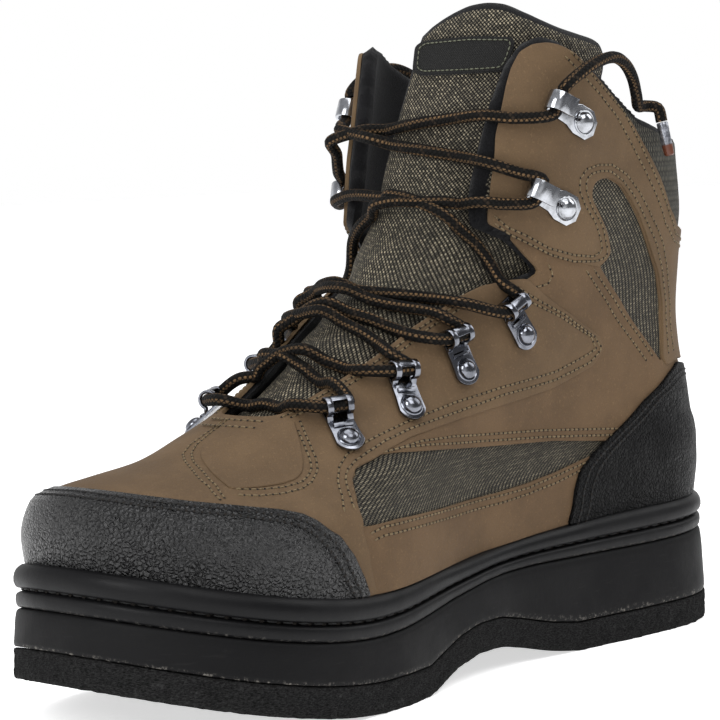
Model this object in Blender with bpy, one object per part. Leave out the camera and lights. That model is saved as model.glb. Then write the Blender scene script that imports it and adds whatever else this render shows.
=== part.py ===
"""A lace-up wading boot: felt outsole, midsole, welt, hollow upper, overlays, tongue and lacing.

The left boot of a pair, standing empty on its sole. Metres, +Z up, toe towards +X, outer side
towards +Y. The origin is the centre of the heel's flat tread, on the floor.

Every form of the upper comes from one function, skin(height, turn, out): height runs from 0 at the
feather line to 1 at the top of the flaps, turn from 0 at the front centre line to +1 round the
outer side and -1 round the inner side to the heel's back, and out is the distance off the leather.
"""
import math
from functools import lru_cache

import bmesh
import bpy
import numpy as np
from mathutils import Matrix, Vector
from mathutils.bvhtree import BVHTree

# Driving sizes of the sole
SOLE_LENGTH = 0.322
BALL_WIDTH = 0.118
HEEL_STACK = 0.0505
FELT_THICKNESS = 0.0108
BAND_HEIGHT = 0.0056
WELT_CHAMFER = 0.0028
TOE_SPRING = 0.018
ARCH_RISE = 0.0087
HEEL_BEVEL = 0.002
TOE_SWING = 0.004
HEEL_TREAD_CENTRE = 0.066

# Driving sizes of the upper
UPPER_HEIGHT = 0.190
SHANK_FADE = 0.060
TOE_LEAN = 0.003
VAMP_WALL = 0.003
COLLAR_WALL = 0.006
PANEL_THICKNESS = 0.0014
CAP_THICKNESS = 0.0017
INSOLE_THICKNESS = 0.004
TONGUE_THICKNESS = 0.006
PATCH_THICKNESS = 0.001

# Driving sizes of the lacing
LACE_DIAMETER = 0.0045
LACE_CROSSING_RISE = 0.0024
AGLET_LENGTH = 0.013
FASTENER_WIDTH = 0.0095
FASTENER_SHEET = 0.001
RIVET_RADIUS = 0.0034

# Clearances
GAP = 0.0003
SOFT_GAP = 0.0007
LACE_GAP = 0.0007
TURN_GAP = 0.0023

# Steps of the faceted forms
SOLE_STEPS = 24
ROUND_STEPS = 18
PATH_STEP = 2.9


def smooth(keys, values, key):
    """A monotone cubic through a short table's rows."""
    keys, values = np.asarray(keys, float), np.asarray(values, float)
    key = np.clip(np.asarray(key, float), keys[0], keys[-1])
    step = np.diff(keys)
    slope = np.diff(values) / step
    tangent = np.zeros_like(values)
    tangent[0], tangent[-1] = slope[0], slope[-1]
    for i in range(1, len(keys) - 1):
        if slope[i - 1] * slope[i] > 0:
            before, after = 2 * step[i] + step[i - 1], step[i] + 2 * step[i - 1]
            tangent[i] = (before + after) / (before / slope[i - 1] + after / slope[i])
    i = np.clip(np.searchsorted(keys, key, side="right") - 1, 0, len(step) - 1)
    t = (key - keys[i]) / step[i]
    start = (1 + 2 * t) * (1 - t) ** 2 * values[i] + t * (1 - t) ** 2 * step[i] * tangent[i]
    end = t * t * (3 - 2 * t) * values[i + 1] + t * t * (t - 1) * step[i] * tangent[i + 1]
    return start + end


class Table:
    """Named columns; the first one is the key that the others are read against."""

    def __init__(self, columns, rows):
        self.columns = columns.split()
        self.rows = np.array(rows, float)

    def at(self, column, key):
        return smooth(self.rows[:, 0], self.rows[:, self.columns.index(column)], key)


# Half widths of the sole as shares of the ball width, along as a share of the sole length
SOLE_PLAN = Table("along outer inner", (
    (0.00, 0.377, 0.377),
    (0.08, 0.386, 0.386),
    (0.18, 0.386, 0.381),
    (0.30, 0.369, 0.347),
    (0.42, 0.356, 0.331),
    (0.55, 0.403, 0.381),
    (0.68, 0.483, 0.475),
    (0.78, 0.508, 0.492),
    (0.88, 0.500, 0.483),
    (1.00, 0.483, 0.475),
))

# Heights of the sole's side lines as shares of the heel stack
SOLE_SIDE = Table("along seam feather", (
    (0.00, 0.743, 1.000),
    (0.19, 0.713, 0.980),
    (0.37, 0.713, 0.931),
    (0.45, 0.697, 0.893),
    (0.53, 0.644, 0.858),
    (0.61, 0.574, 0.832),
    (0.68, 0.531, 0.808),
    (0.81, 0.507, 0.792),
    (1.00, 0.485, 0.776),
))

# Rise of the felt under the arch as a share of the arch rise
ARCH = Table("along rise", (
    (0.323, 0.00),
    (0.366, 0.23),
    (0.432, 0.76),
    (0.469, 0.99),
    (0.503, 1.00),
    (0.543, 0.80),
    (0.581, 0.41),
    (0.621, 0.00),
))

# Level sections of the upper: ends and end roundings as shares of the sole length, half widths at
# five stations along the foot as shares of the ball width
SECTIONS = Table("height back front nose nose_power round round_power heel waist arch ball toe", (
    (0.000, 0.016, 0.978, 0.236, 2.35, 0.143, 2.3, 0.343, 0.326, 0.331, 0.462, 0.466),
    (0.063, 0.011, 0.983, 0.242, 2.30, 0.149, 2.3, 0.352, 0.331, 0.339, 0.466, 0.475),
    (0.116, 0.008, 0.977, 0.255, 2.20, 0.149, 2.2, 0.356, 0.331, 0.339, 0.462, 0.470),
    (0.147, 0.008, 0.950, 0.267, 2.15, 0.149, 2.2, 0.356, 0.331, 0.339, 0.458, 0.458),
    (0.176, 0.009, 0.910, 0.280, 2.10, 0.149, 2.2, 0.352, 0.331, 0.339, 0.445, 0.432),
    (0.216, 0.012, 0.845, 0.298, 2.05, 0.149, 2.1, 0.347, 0.331, 0.339, 0.432, 0.415),
    (0.258, 0.016, 0.795, 0.304, 2.05, 0.149, 2.1, 0.347, 0.331, 0.339, 0.424, 0.411),
    (0.305, 0.019, 0.742, 0.311, 2.00, 0.149, 2.1, 0.343, 0.335, 0.347, 0.407, 0.407),
    (0.368, 0.028, 0.677, 0.311, 2.00, 0.149, 2.1, 0.343, 0.343, 0.356, 0.390, 0.390),
    (0.453, 0.034, 0.618, 0.311, 2.00, 0.149, 2.1, 0.347, 0.356, 0.364, 0.390, 0.390),
    (0.553, 0.033, 0.550, 0.261, 2.00, 0.149, 2.1, 0.364, 0.377, 0.381, 0.390, 0.390),
    (0.658, 0.025, 0.503, 0.193, 2.05, 0.155, 2.1, 0.381, 0.398, 0.398, 0.390, 0.390),
    (0.789, 0.031, 0.469, 0.143, 2.10, 0.161, 2.1, 0.386, 0.407, 0.419, 0.407, 0.407),
    (1.000, 0.025, 0.432, 0.124, 2.20, 0.168, 2.1, 0.390, 0.415, 0.424, 0.415, 0.415),
    (1.105, 0.025, 0.416, 0.118, 2.20, 0.168, 2.1, 0.381, 0.407, 0.415, 0.407, 0.407),
))
STATIONS = {"heel": 0.155, "waist": 0.311, "arch": 0.466, "ball": 0.699, "toe": 0.901}

# Top edge of the upper, from the front round to the heel's back
TOPLINE = Table("turn height", (
    (0.00, 1.000),
    (0.25, 0.995),
    (0.30, 0.984),
    (0.37, 0.950),
    (0.44, 0.915),
    (0.51, 0.868),
    (0.57, 0.837),
    (0.68, 0.815),
    (0.81, 0.790),
    (1.00, 0.780),
))

# Half opening of the throat in turn; its narrow notch lies between eyestay and ankle flap
THROAT = Table("height turn", (
    (0.312, 0.095),
    (0.332, 0.106),
    (0.368, 0.138),
    (0.432, 0.200),
    (0.489, 0.247),
    (0.532, 0.292),
    (0.540, 0.345),
    (0.551, 0.383),
    (0.563, 0.372),
    (0.589, 0.334),
    (0.616, 0.290),
    (0.647, 0.208),
    (0.690, 0.180),
    (0.737, 0.166),
    (0.789, 0.161),
    (0.879, 0.164),
    (0.947, 0.180),
    (0.984, 0.208),
    (1.010, 0.250),
    (1.040, 0.290),
))

# Wall of the upper between vamp wall (0) and padded collar wall (1)
PADDING = Table("height share", (
    (0.00, 0.0),
    (0.45, 0.0),
    (0.62, 0.7),
    (0.75, 1.0),
    (1.10, 1.0),
))

# The tongue: how far its edges reach in turn, how high each part of its top stands, and how deep
# its middle lies below the upper's own form as a share of the collar wall
TONGUE_EDGE = Table("height turn", (
    (0.27, 0.16),
    (0.31, 0.19),
    (0.43, 0.28),
    (0.50, 0.36),
    (0.56, 0.43),
    (0.70, 0.40),
    (1.12, 0.40),
))
TONGUE_TOP = Table("across height", (
    (0.0, 1.085),
    (0.4, 1.080),
    (0.7, 1.045),
    (1.0, 0.960),
))
TONGUE_FOOT = 0.262
TONGUE_SINK = Table("height share", (
    (0.26, 0.10),
    (0.40, 0.25),
    (0.55, 0.30),
    (0.75, 0.00),
    (1.12, 0.00),
))

# Side views of the overlays: along as a share of the sole length, height on the upper
TOE_CAP_SIDE = (
    (1.03, 0.158), (0.975, 0.150), (0.913, 0.143), (0.855, 0.145), (0.815, 0.142), (0.790, 0.130),
    (0.765, 0.104), (0.747, 0.053), (0.737, 0.000), (0.732, -0.08), (1.03, -0.08),
)
HEEL_COUNTER_SIDE = (
    (-0.03, 0.322), (0.065, 0.325), (0.100, 0.312), (0.146, 0.285), (0.189, 0.247),
    (0.239, 0.195), (0.283, 0.150), (0.307, 0.108), (0.321, 0.060), (0.329, 0.000),
    (0.332, -0.08), (-0.03, -0.08),
)
ANKLE_CUFF_SIDE = (
    (0.380, 1.040), (0.300, 1.040), (0.236, 0.940), (0.214, 0.845), (0.200, 0.805), (0.171, 0.757), (0.149, 0.710), (0.112, 0.660), (0.060, 0.615),
    (-0.03, 0.590), (-0.03, 0.350), (0.152, 0.350), (0.146, 0.410), (0.146, 0.479),
    (0.155, 0.526), (0.193, 0.605), (0.224, 0.663), (0.258, 0.705), (0.283, 0.720),
    (0.304, 0.710), (0.300, 0.674), (0.285, 0.632), (0.268, 0.588), (0.274, 0.558),
    (0.326, 0.560), (0.378, 0.562), (0.404, 0.590), (0.420, 0.616), (0.440, 0.645),
    (0.438, 0.690), (0.435, 0.737), (0.428, 0.789), (0.419, 0.832), (0.410, 0.879),
    (0.400, 0.925), (0.389, 0.965),
)
EYESTAY_SIDE = (
    (0.722, 0.330), (0.738, 0.268), (0.764, 0.220), (0.772, 0.192), (0.755, 0.184),
    (0.711, 0.211), (0.621, 0.258), (0.503, 0.295), (0.376, 0.326), (0.283, 0.353),
    (0.268, 0.389), (0.311, 0.437), (0.366, 0.480), (0.364, 0.520), (0.376, 0.548),
    (0.420, 0.549), (0.500, 0.540), (0.640, 0.440),
)

# Lace fasteners from the vamp up: where the lace passes and where the rivet sits
LACE_REACH = {"eyelet": 0.0125, "hook": 0.0165}
FASTENERS = (
    # name, lace height, lace turn, rivet height, rivet turn
    ("eyelet_1", 0.321, 0.171, 0.268, 0.230),
    ("eyelet_2", 0.374, 0.235, 0.316, 0.288),
    ("eyelet_3", 0.426, 0.300, 0.374, 0.340),
    ("eyelet_4", 0.484, 0.366, 0.432, 0.414),
    ("hook_1", 0.711, 0.294, 0.674, 0.375),
    ("hook_2", 0.876, 0.284, 0.837, 0.374),
)

# Free lace end, from the top hook over the topline to its tip: along as a share of the sole
# length, out as a share of the ball width, up as a share of the upper's height
LACE_END = (
    # along, out, up
    (0.366, 0.458, 1.116),
    (0.331, 0.475, 1.151),
    (0.286, 0.471, 1.168),
    (0.258, 0.458, 1.155),
    (0.236, 0.441, 1.128),
    (0.221, 0.424, 1.093),
    (0.208, 0.403, 1.072),
    (0.193, 0.398, 1.072),
    (0.181, 0.425, 1.067),
    (0.178, 0.434, 1.040),
)

HEEL_BACK = -HEEL_TREAD_CENTRE


def linear(value):
    """A screen colour channel as a linear one."""
    return value / 12.92 if value <= 0.04045 else ((value + 0.055) / 1.055) ** 2.4


def material(name, colour, roughness, metallic=0.0):
    made = bpy.data.materials.new(name)
    made.use_nodes = True
    shader = made.node_tree.nodes["Principled BSDF"]
    shader.inputs["Base Color"].default_value = tuple(linear(c) for c in colour) + (1.0,)
    shader.inputs["Roughness"].default_value = roughness
    shader.inputs["Metallic"].default_value = metallic
    made.diffuse_color = tuple(colour) + (1.0,)
    return made


def add_object(name, mesh, finish):
    mesh.materials.append(finish)
    made = bpy.data.objects.new(name, mesh)
    bpy.context.scene.collection.objects.link(made)
    return made


def add_mesh(name, shape, finish):
    """A bmesh as an object with a material."""
    bmesh.ops.recalc_face_normals(shape, faces=shape.faces)
    mesh = bpy.data.meshes.new(name)
    shape.to_mesh(mesh)
    shape.free()
    return add_object(name, mesh, finish)


def guide(name, mesh):
    """A cutter, which isn't a piece of the boot."""
    made = bpy.data.objects.new(name, mesh)
    bpy.context.scene.collection.objects.link(made)
    made.hide_render = True
    made.display_type = "WIRE"
    return made


def boolean(target, cutter, operation):
    change = target.modifiers.new(operation.title(), "BOOLEAN")
    change.operation = operation
    change.object = cutter


def toe_rise(along):
    """How far the toe spring lifts everything at a share of the sole length."""
    return TOE_SPRING * np.clip((along - 0.70) / 0.30, 0, None) ** 1.6


def tread_height(along):
    """Underside of the felt: flat heel and forefoot, arch, bevelled heel, toe spring."""
    bevel = HEEL_BEVEL * np.clip(1 - along / 0.09, 0, None) ** 2
    return ARCH_RISE * ARCH.at("rise", along) + bevel + toe_rise(along)


def seam_height(along):
    return HEEL_STACK * SOLE_SIDE.at("seam", along) + toe_rise(along)


def feather_height(along):
    return HEEL_STACK * SOLE_SIDE.at("feather", along) + toe_rise(along)


SOLE_PLACES = (1 - np.cos(np.pi * np.arange(SOLE_STEPS + 1) / SOLE_STEPS)) / 2


def rounded(distance, power):
    """The share of its full width that a rounded end has at a share of the rounding."""
    distance = np.clip(distance, 0, 1)
    return (1 - (1 - distance) ** power) ** (1 / power)


def sole_edge(along, side, grow):
    """Across position of the sole's outline, grown outwards by a distance."""
    share = -grow / SOLE_LENGTH + along * (1 + 2 * grow / SOLE_LENGTH)
    width = SOLE_PLAN.at("outer" if side > 0 else "inner", share) * BALL_WIDTH + grow
    ends = rounded(along / 0.15, 2.3) * rounded((1 - along) / 0.225, 2.4)
    swing = TOE_SWING * np.clip((share - 0.70) / 0.30, 0, 1) ** 1.5
    return share, side * width * ends - swing


def welt_top(x):
    """Height of the welt's faceted top at a place along the boot."""
    places, _ = sole_edge(SOLE_PLACES, 1, -WELT_CHAMFER)
    return float(np.interp(x, HEEL_BACK + places * SOLE_LENGTH, feather_height(SOLE_PLACES)))


def slab(name, rings, finish):
    """A closed body through rings given as a left and a right list of points, bottom ring first."""
    shape = bmesh.new()
    made = [[[shape.verts.new(p) for p in side] for side in ring] for ring in rings]
    count = len(made[0][0])
    for low, high in zip(made, made[1:]):
        for side in (0, 1):
            for i in range(count - 1):
                shape.faces.new((low[side][i], low[side][i + 1], high[side][i + 1], high[side][i]))
    for ring in (made[0], made[-1]):
        for i in range(count - 1):
            shape.faces.new((ring[0][i], ring[0][i + 1], ring[1][i + 1], ring[1][i]))
    bmesh.ops.remove_doubles(shape, verts=shape.verts, dist=1e-6)
    bmesh.ops.dissolve_degenerate(shape, edges=shape.edges, dist=1e-6)
    return add_mesh(name, shape, finish)


def sole_slab(name, lower, upper, levels, finish):
    """A layer of the sole between two height functions; levels hold (height share, outline growth)."""
    rings = []
    for share, grow in levels:
        ring = []
        for side in (1, -1):
            points = []
            for along in SOLE_PLACES:
                place, across = sole_edge(along, side, grow)
                low, high = lower(along), upper(along)
                points.append((HEEL_BACK + place * SOLE_LENGTH, across, low + (high - low) * share))
            ring.append(points)
        rings.append(ring)
    return slab(name, rings, finish)


def section_half_width(height, along):
    """Half width of the upper's level section at a share of the sole length."""
    widths = [SECTIONS.at(name, height) for name in STATIONS]
    full = smooth(list(STATIONS.values()), widths, along)
    front, back = SECTIONS.at("front", height), SECTIONS.at("back", height)
    nose = rounded((front - along) / SECTIONS.at("nose", height), SECTIONS.at("nose_power", height))
    heel = rounded((along - back) / SECTIONS.at("round", height), SECTIONS.at("round_power", height))
    return full * nose * heel * BALL_WIDTH


def level_height(height, along):
    """World height of a level of the upper: the feather's own line fades out over the shank."""
    ball = HEEL_STACK * SOLE_SIDE.rows[-1, 2]
    fade = 1 - np.clip(height * UPPER_HEIGHT / SHANK_FADE, 0, 1)
    seat = feather_height(along) - toe_rise(along)
    return ball + height * UPPER_HEIGHT + (seat - ball) * fade + toe_rise(along)


@lru_cache(maxsize=None)
def form(height, turn):
    """A point on the upper's leather; past the heel's back it goes on round the other side."""
    turn = (turn + 1) % 2 - 1
    front, back = SECTIONS.at("front", height), SECTIONS.at("back", height)
    along = back + (front - back) * (1 + math.cos(math.pi * turn)) / 2
    across = math.copysign(section_half_width(height, along), turn)
    lean = TOE_LEAN * np.clip((along - 0.62) / 0.36, 0, 1) ** 1.5
    return Vector((HEEL_BACK + along * SOLE_LENGTH, across - lean, level_height(height, along)))


@lru_cache(maxsize=None)
def normal(height, turn):
    step = 0.01
    around = form(height, (turn + step)) - form(height, (turn - step))
    up = form(min(height + step, 1.10), turn) - form(max(height - step, 0.0), turn)
    return around.cross(up).normalized()


def skin(height, turn, out):
    """A point at a distance off the leather."""
    return form(height, turn) + normal(height, turn) * out


def wall(height):
    return VAMP_WALL + (COLLAR_WALL - VAMP_WALL) * float(PADDING.at("share", height))


def grid(columns, rows, place, wrap=False):
    """A bmesh grid whose point at (column, row) is place(column, row); wrap joins its two ends."""
    shape = bmesh.new()
    last = columns if wrap else columns + 1
    points = [[shape.verts.new(place(i, j)) for j in range(rows + 1)] for i in range(last)]
    for i in range(columns):
        for j in range(rows):
            after = points[(i + 1) % last]
            shape.faces.new((points[i][j], after[j], after[j + 1], points[i][j + 1]))
    bmesh.ops.triangulate(shape, faces=shape.faces, quad_method="FIXED")
    return shape


def patch_solid(name, columns, rows, place, wrap=False):
    """A closed solid between place(column, row, 0) and place(column, row, 1)."""
    shape = grid(columns, rows, lambda i, j: place(i, j, 0), wrap)
    outer = grid(columns, rows, lambda i, j: place(i, j, 1), wrap)
    mesh = bpy.data.meshes.new(name)
    outer.to_mesh(mesh)
    outer.free()
    bmesh.ops.reverse_faces(shape, faces=shape.faces)
    shape.from_mesh(mesh)
    half = len(shape.verts) // 2
    shape.verts.index_update()
    shape.verts.ensure_lookup_table()
    rim = [[v.index for v in edge.verts] for edge in shape.edges if edge.is_boundary]
    for a, b in rim:
        if max(a, b) < half:
            shape.faces.new([shape.verts[k] for k in (a, b, b + half, a + half)])
    bmesh.ops.recalc_face_normals(shape, faces=shape.faces)
    shape.to_mesh(mesh)
    shape.free()
    return mesh


# Rows of the upper's mesh: shares of the height below the ankle, then shares of the shaft
LOWER_ROWS = (0.0, 0.032, 0.070, 0.110, 0.142, 0.170, 0.205, 0.250, 0.310, 0.400, 0.535)
SHAFT_ROWS = (0.25, 0.50, 0.75, 1.0)


def row_height(row, turn):
    """Height of a mesh row of the upper; the shaft's rows follow the topline."""
    if row < len(LOWER_ROWS):
        return LOWER_ROWS[row]
    ankle = LOWER_ROWS[-1]
    return ankle + (float(TOPLINE.at("height", abs(turn))) - ankle) * SHAFT_ROWS[row - len(LOWER_ROWS)]


def column_turn(column):
    """Turn of a mesh column; columns run from the front round the outer side and back."""
    turn = column / ROUND_STEPS
    return turn if turn <= 1 else turn - 2


def upper_shell(name, inner, outer):
    """The whole upper's form between two distances off the leather, given as functions of height."""
    rows = len(LOWER_ROWS) + len(SHAFT_ROWS) - 1

    def place(column, row, side):
        turn = column_turn(column)
        height = row_height(row, turn)
        point = skin(height, turn, (outer if side else inner)(height))
        if row == 0:
            point.z = welt_top(point.x) + 2 * GAP
        return point

    return patch_solid(name, 2 * ROUND_STEPS, rows, place, wrap=True)


def throat_cutter():
    """A thick patch of the upper's own form over the throat."""
    heights = THROAT.rows[:, 0]
    columns = 8

    def place(column, row, side):
        height = float(heights[row])
        turn = (column / columns * 2 - 1) * float(THROAT.rows[row, 1])
        return skin(height, turn, 0.013 if side else -0.013)

    return guide("throat_guide", patch_solid("throat_guide", columns, len(heights) - 1, place))


def prism(name, outline, low, high):
    """A straight prism across the boot over a side view given on the upper's own levels."""
    shape = bmesh.new()
    points = [(HEEL_BACK + along * SOLE_LENGTH, float(level_height(height, along)))
              for along, height in outline]
    face = shape.faces.new([shape.verts.new((x, low, z)) for x, z in points])
    grown = bmesh.ops.extrude_face_region(shape, geom=[face])
    moved = [v for v in grown["geom"] if isinstance(v, bmesh.types.BMVert)]
    bmesh.ops.translate(shape, verts=moved, vec=(0, high - low, 0))
    bmesh.ops.recalc_face_normals(shape, faces=shape.faces)
    mesh = bpy.data.meshes.new(name)
    shape.to_mesh(mesh)
    shape.free()
    return guide(name, mesh)


def overlay(name, outline, low, high, thickness, finish, throat=None):
    """A panel of even thickness over the upper, cut to a side view."""
    mesh = upper_shell(name, lambda h: GAP, lambda h: GAP + thickness)
    panel = add_object(name, mesh, finish)
    boolean(panel, prism(name + "_guide", outline, low, high), "INTERSECT")
    if throat:
        boolean(panel, throat, "DIFFERENCE")
    return panel


def tongue_point(across, share, out):
    """A point of the tongue's face: across from -1 to 1, share from its foot to its top."""
    top = float(TONGUE_TOP.at("height", abs(across)))
    height = TONGUE_FOOT + (top - TONGUE_FOOT) * share
    turn = across * float(TONGUE_EDGE.at("turn", height))
    sink = float(TONGUE_SINK.at("share", height)) * COLLAR_WALL * (1 - across ** 2)
    return skin(height, turn, out - wall(height) - SOFT_GAP - sink)


TONGUE_COLUMNS = 10
TONGUE_ROWS = 12


def tongue_solid(name, columns, rows, inner, outer, finish):
    """A block of the tongue's own grid between two distances off its face."""
    def place(column, row, side):
        across = (columns[0] + column) / TONGUE_COLUMNS * 2 - 1
        return tongue_point(across, (rows[0] + row) / TONGUE_ROWS, outer if side else inner)

    mesh = patch_solid(name, columns[1] - columns[0], rows[1] - rows[0], place)
    return add_object(name, mesh, finish)


def insole(finish):
    """A flat footbed inside the upper's wall, on the welt's top."""
    rings = []
    for lift in (2 * GAP, INSOLE_THICKNESS):
        ring = []
        for side in (1, -1):
            points = []
            for i in range(ROUND_STEPS + 1):
                turn = side * (1 - i / ROUND_STEPS)
                point = skin(0.0, turn, -VAMP_WALL - 2 * SOFT_GAP)
                points.append((point.x, point.y, welt_top(point.x) + lift))
            ring.append(points)
        rings.append(ring)
    return slab("insole", rings, finish)


def bent_strip(path, width, thickness):
    """A metal strip of even thickness bent along a path of (length, height) points."""
    shape = bmesh.new()
    rings = []
    for i, point in enumerate(path):
        before, after = path[max(i - 1, 0)], path[min(i + 1, len(path) - 1)]
        run = Vector((after[0] - before[0], after[1] - before[1])).normalized()
        off = Vector((-run.y, run.x)) * thickness / 2
        ring = []
        for side, depth in ((-1, -1), (1, -1), (1, 1), (-1, 1)):
            ring.append(shape.verts.new((point[0] + off.x * depth, side * width / 2,
                                         point[1] + off.y * depth)))
        rings.append(ring)
    for one, two in zip(rings, rings[1:]):
        for k in range(4):
            shape.faces.new((one[k], one[(k + 1) % 4], two[(k + 1) % 4], two[k]))
    shape.faces.new(rings[0])
    shape.faces.new(rings[-1])
    bmesh.ops.recalc_face_normals(shape, faces=shape.faces)
    return shape


def plate_shape(length, width, thickness, tail):
    """A flat base plate with a rounded tail round the rivet, its length along +X."""
    shape = bmesh.new()
    outline = [(tail * math.cos(a), tail * math.sin(a))
               for a in np.linspace(math.radians(110), math.radians(250), 6)]
    outline += [(length, -width / 2), (length, width / 2)]
    face = shape.faces.new([shape.verts.new((x, y, 0)) for x, y in outline])
    grown = bmesh.ops.extrude_face_region(shape, geom=[face])
    moved = [v for v in grown["geom"] if isinstance(v, bmesh.types.BMVert)]
    bmesh.ops.translate(shape, verts=moved, vec=(0, 0, thickness))
    bmesh.ops.recalc_face_normals(shape, faces=shape.faces)
    return shape


def rivet_shape(radius, base, height):
    """A low dome that starts inside its plate."""
    shape = bmesh.new()
    profile = [shape.verts.new(p) for p in (
        (0, 0, base / 2), (radius, 0, base / 2), (radius, 0, base + height * 0.35),
        (radius * 0.7, 0, base + height * 0.85), (0, 0, base + height))]
    edges = [shape.edges.new(pair) for pair in zip(profile, profile[1:])]
    bmesh.ops.spin(shape, geom=profile + edges, cent=(0, 0, 0), axis=(0, 0, 1), angle=math.tau,
                   steps=7, use_merge=True)
    bmesh.ops.remove_doubles(shape, verts=shape.verts, dist=1e-6)
    bmesh.ops.recalc_face_normals(shape, faces=shape.faces)
    return shape


def united(name, shapes):
    """One mesh from overlapping closed shapes."""
    objects = []
    for i, shape in enumerate(shapes):
        mesh = bpy.data.meshes.new(f"{name}_{i}")
        shape.to_mesh(mesh)
        shape.free()
        objects.append(guide(f"{name}_guide_{i}", mesh))
    for other in objects[1:]:
        boolean(objects[0], other, "UNION")
    bpy.context.view_layer.update()
    seen = objects[0].evaluated_get(bpy.context.evaluated_depsgraph_get())
    mesh = bpy.data.meshes.new_from_object(seen)
    mesh.name = name
    for made in objects:
        bpy.data.objects.remove(made)
    return mesh


LACE_ROOM = LACE_DIAMETER / 2 + LACE_GAP + FASTENER_SHEET / 2
PORT_REACH = FASTENER_WIDTH / 2 + LACE_DIAMETER / 2 + TURN_GAP
END_REACH = FASTENER_WIDTH / 2 + GAP


def eyelet_mesh(reach):
    """Plate, rivet and a folded loop that the lace runs through, reach from the rivet."""
    start, crown = reach - LACE_ROOM, 2 * LACE_ROOM + FASTENER_SHEET / 2
    path = [(start - 0.001, FASTENER_SHEET / 2)]
    for angle in np.linspace(200, -20, 7):
        turn = math.radians(angle)
        path.append((reach + LACE_ROOM * 1.05 * math.cos(turn),
                     crown / 2 + LACE_ROOM * math.sin(turn)))
    path.append((reach + LACE_ROOM, FASTENER_SHEET / 2))
    plate = plate_shape(reach + LACE_ROOM, FASTENER_WIDTH, FASTENER_SHEET, RIVET_RADIUS * 1.4)
    loop = bent_strip(path, FASTENER_WIDTH * 0.8, FASTENER_SHEET)
    return united("eyelet", (plate, loop, rivet_shape(RIVET_RADIUS, FASTENER_SHEET, 0.002)))


def hook_mesh(reach):
    """Plate, rivet and a curled hook, open towards the rivet."""
    path = [(reach - 0.002, FASTENER_SHEET / 2)]
    for angle in np.linspace(-90, 90, 6):
        turn = math.radians(angle)
        path.append((reach + LACE_ROOM * math.cos(turn),
                     FASTENER_SHEET / 2 + LACE_ROOM + LACE_ROOM * math.sin(turn)))
    path.append((reach - 0.004, FASTENER_SHEET / 2 + 2 * LACE_ROOM + 0.0006))
    plate = plate_shape(reach, FASTENER_WIDTH, FASTENER_SHEET, RIVET_RADIUS * 1.7)
    hook = bent_strip(path, FASTENER_WIDTH * 0.75, FASTENER_SHEET)
    return united("hook", (plate, hook, rivet_shape(RIVET_RADIUS, FASTENER_SHEET, 0.0026)))


def panel_face():
    """The panels' faceted outer face, for what is riveted onto it."""
    mesh = upper_shell("panel_face", lambda h: GAP, lambda h: GAP + PANEL_THICKNESS)
    return BVHTree.FromPolygons([v.co for v in mesh.vertices], [p.vertices for p in mesh.polygons])


class Fastener:
    """Where an eyelet or a hook stands on its panel, and where the lace passes it."""

    def __init__(self, row, side, face):
        name, self.height, lace_turn, rivet_height, rivet_turn = row
        self.name = f"{name}_{'left' if side > 0 else 'right'}"
        self.kind = name.split("_")[0]
        self.turn = side * lace_turn
        reach = LACE_REACH[self.kind]
        lace = skin(self.height, self.turn, 0.0)
        rivet = skin(rivet_height, side * rivet_turn, 0.0)
        along = (lace - rivet).normalized()
        outward = normal(self.height, self.turn) + normal(rivet_height, side * rivet_turn)
        self.outward = (outward - along * outward.dot(along)).normalized()
        across = self.outward.cross(along)
        above = rivet + self.outward * BALL_WIDTH / 4
        drop = BALL_WIDTH
        for run in np.linspace(-RIVET_RADIUS * 1.4, reach + LACE_ROOM, 6):
            for beside in np.linspace(-FASTENER_WIDTH / 2, FASTENER_WIDTH / 2, 5):
                hit = face.ray_cast(above + along * run + across * beside, -self.outward)
                drop = min(drop, hit[3])
        foot = above - self.outward * (drop - GAP)
        self.matrix = Matrix((along, across, self.outward)).transposed().to_4x4()
        self.matrix.translation = foot
        self.up = across if across.z > 0 else -across
        self.lace = foot + along * reach + self.outward * (FASTENER_SHEET / 2 + LACE_ROOM)

    def port(self, direction, reach=PORT_REACH):
        """Where the lace leaves the fastener, above it (1) or below it (-1)."""
        return self.lace + self.up * direction * reach


def place_fastener(fastener, meshes, finish):
    mesh = meshes[fastener.kind]
    made = bpy.data.objects.new(fastener.name, mesh)
    bpy.context.scene.collection.objects.link(made)
    made.matrix_world = fastener.matrix
    if not mesh.materials:
        mesh.materials.append(finish)


def resampled(points, step):
    """Even points on a smooth curve through a route's own points."""
    route = [points[0] * 2 - points[1]] + list(points) + [points[-1] * 2 - points[-2]]
    fine = []
    for a, b, c, d in zip(route, route[1:], route[2:], route[3:]):
        for k in range(12):
            t = k / 12
            fine.append(b + (c - a) * (t / 2) + (a * 2 - b * 5 + c * 4 - d) * (t * t / 2)
                        + (b * 3 - a - c * 3 + d) * (t ** 3 / 2))
    fine.append(points[-1])
    lengths = np.cumsum([0.0] + [(q - p).length for p, q in zip(fine, fine[1:])])
    count = max(3, round(lengths[-1] / step) + 1)
    wanted = np.linspace(0, lengths[-1], count)
    columns = [np.interp(wanted, lengths, [p[k] for p in fine]) for k in range(3)]
    return [Vector(p) for p in zip(*columns)]


def cord_curve(name, points, diameter):
    """A round cord as a curve with filled caps."""
    curve = bpy.data.curves.new(name, "CURVE")
    curve.dimensions = "3D"
    curve.bevel_depth = diameter / 2
    curve.bevel_resolution = 2
    curve.use_fill_caps = True
    spline = curve.splines.new("POLY")
    spline.points.add(len(points) - 1)
    for slot, point in zip(spline.points, points):
        slot.co = (*point, 1.0)
    return curve


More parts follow.
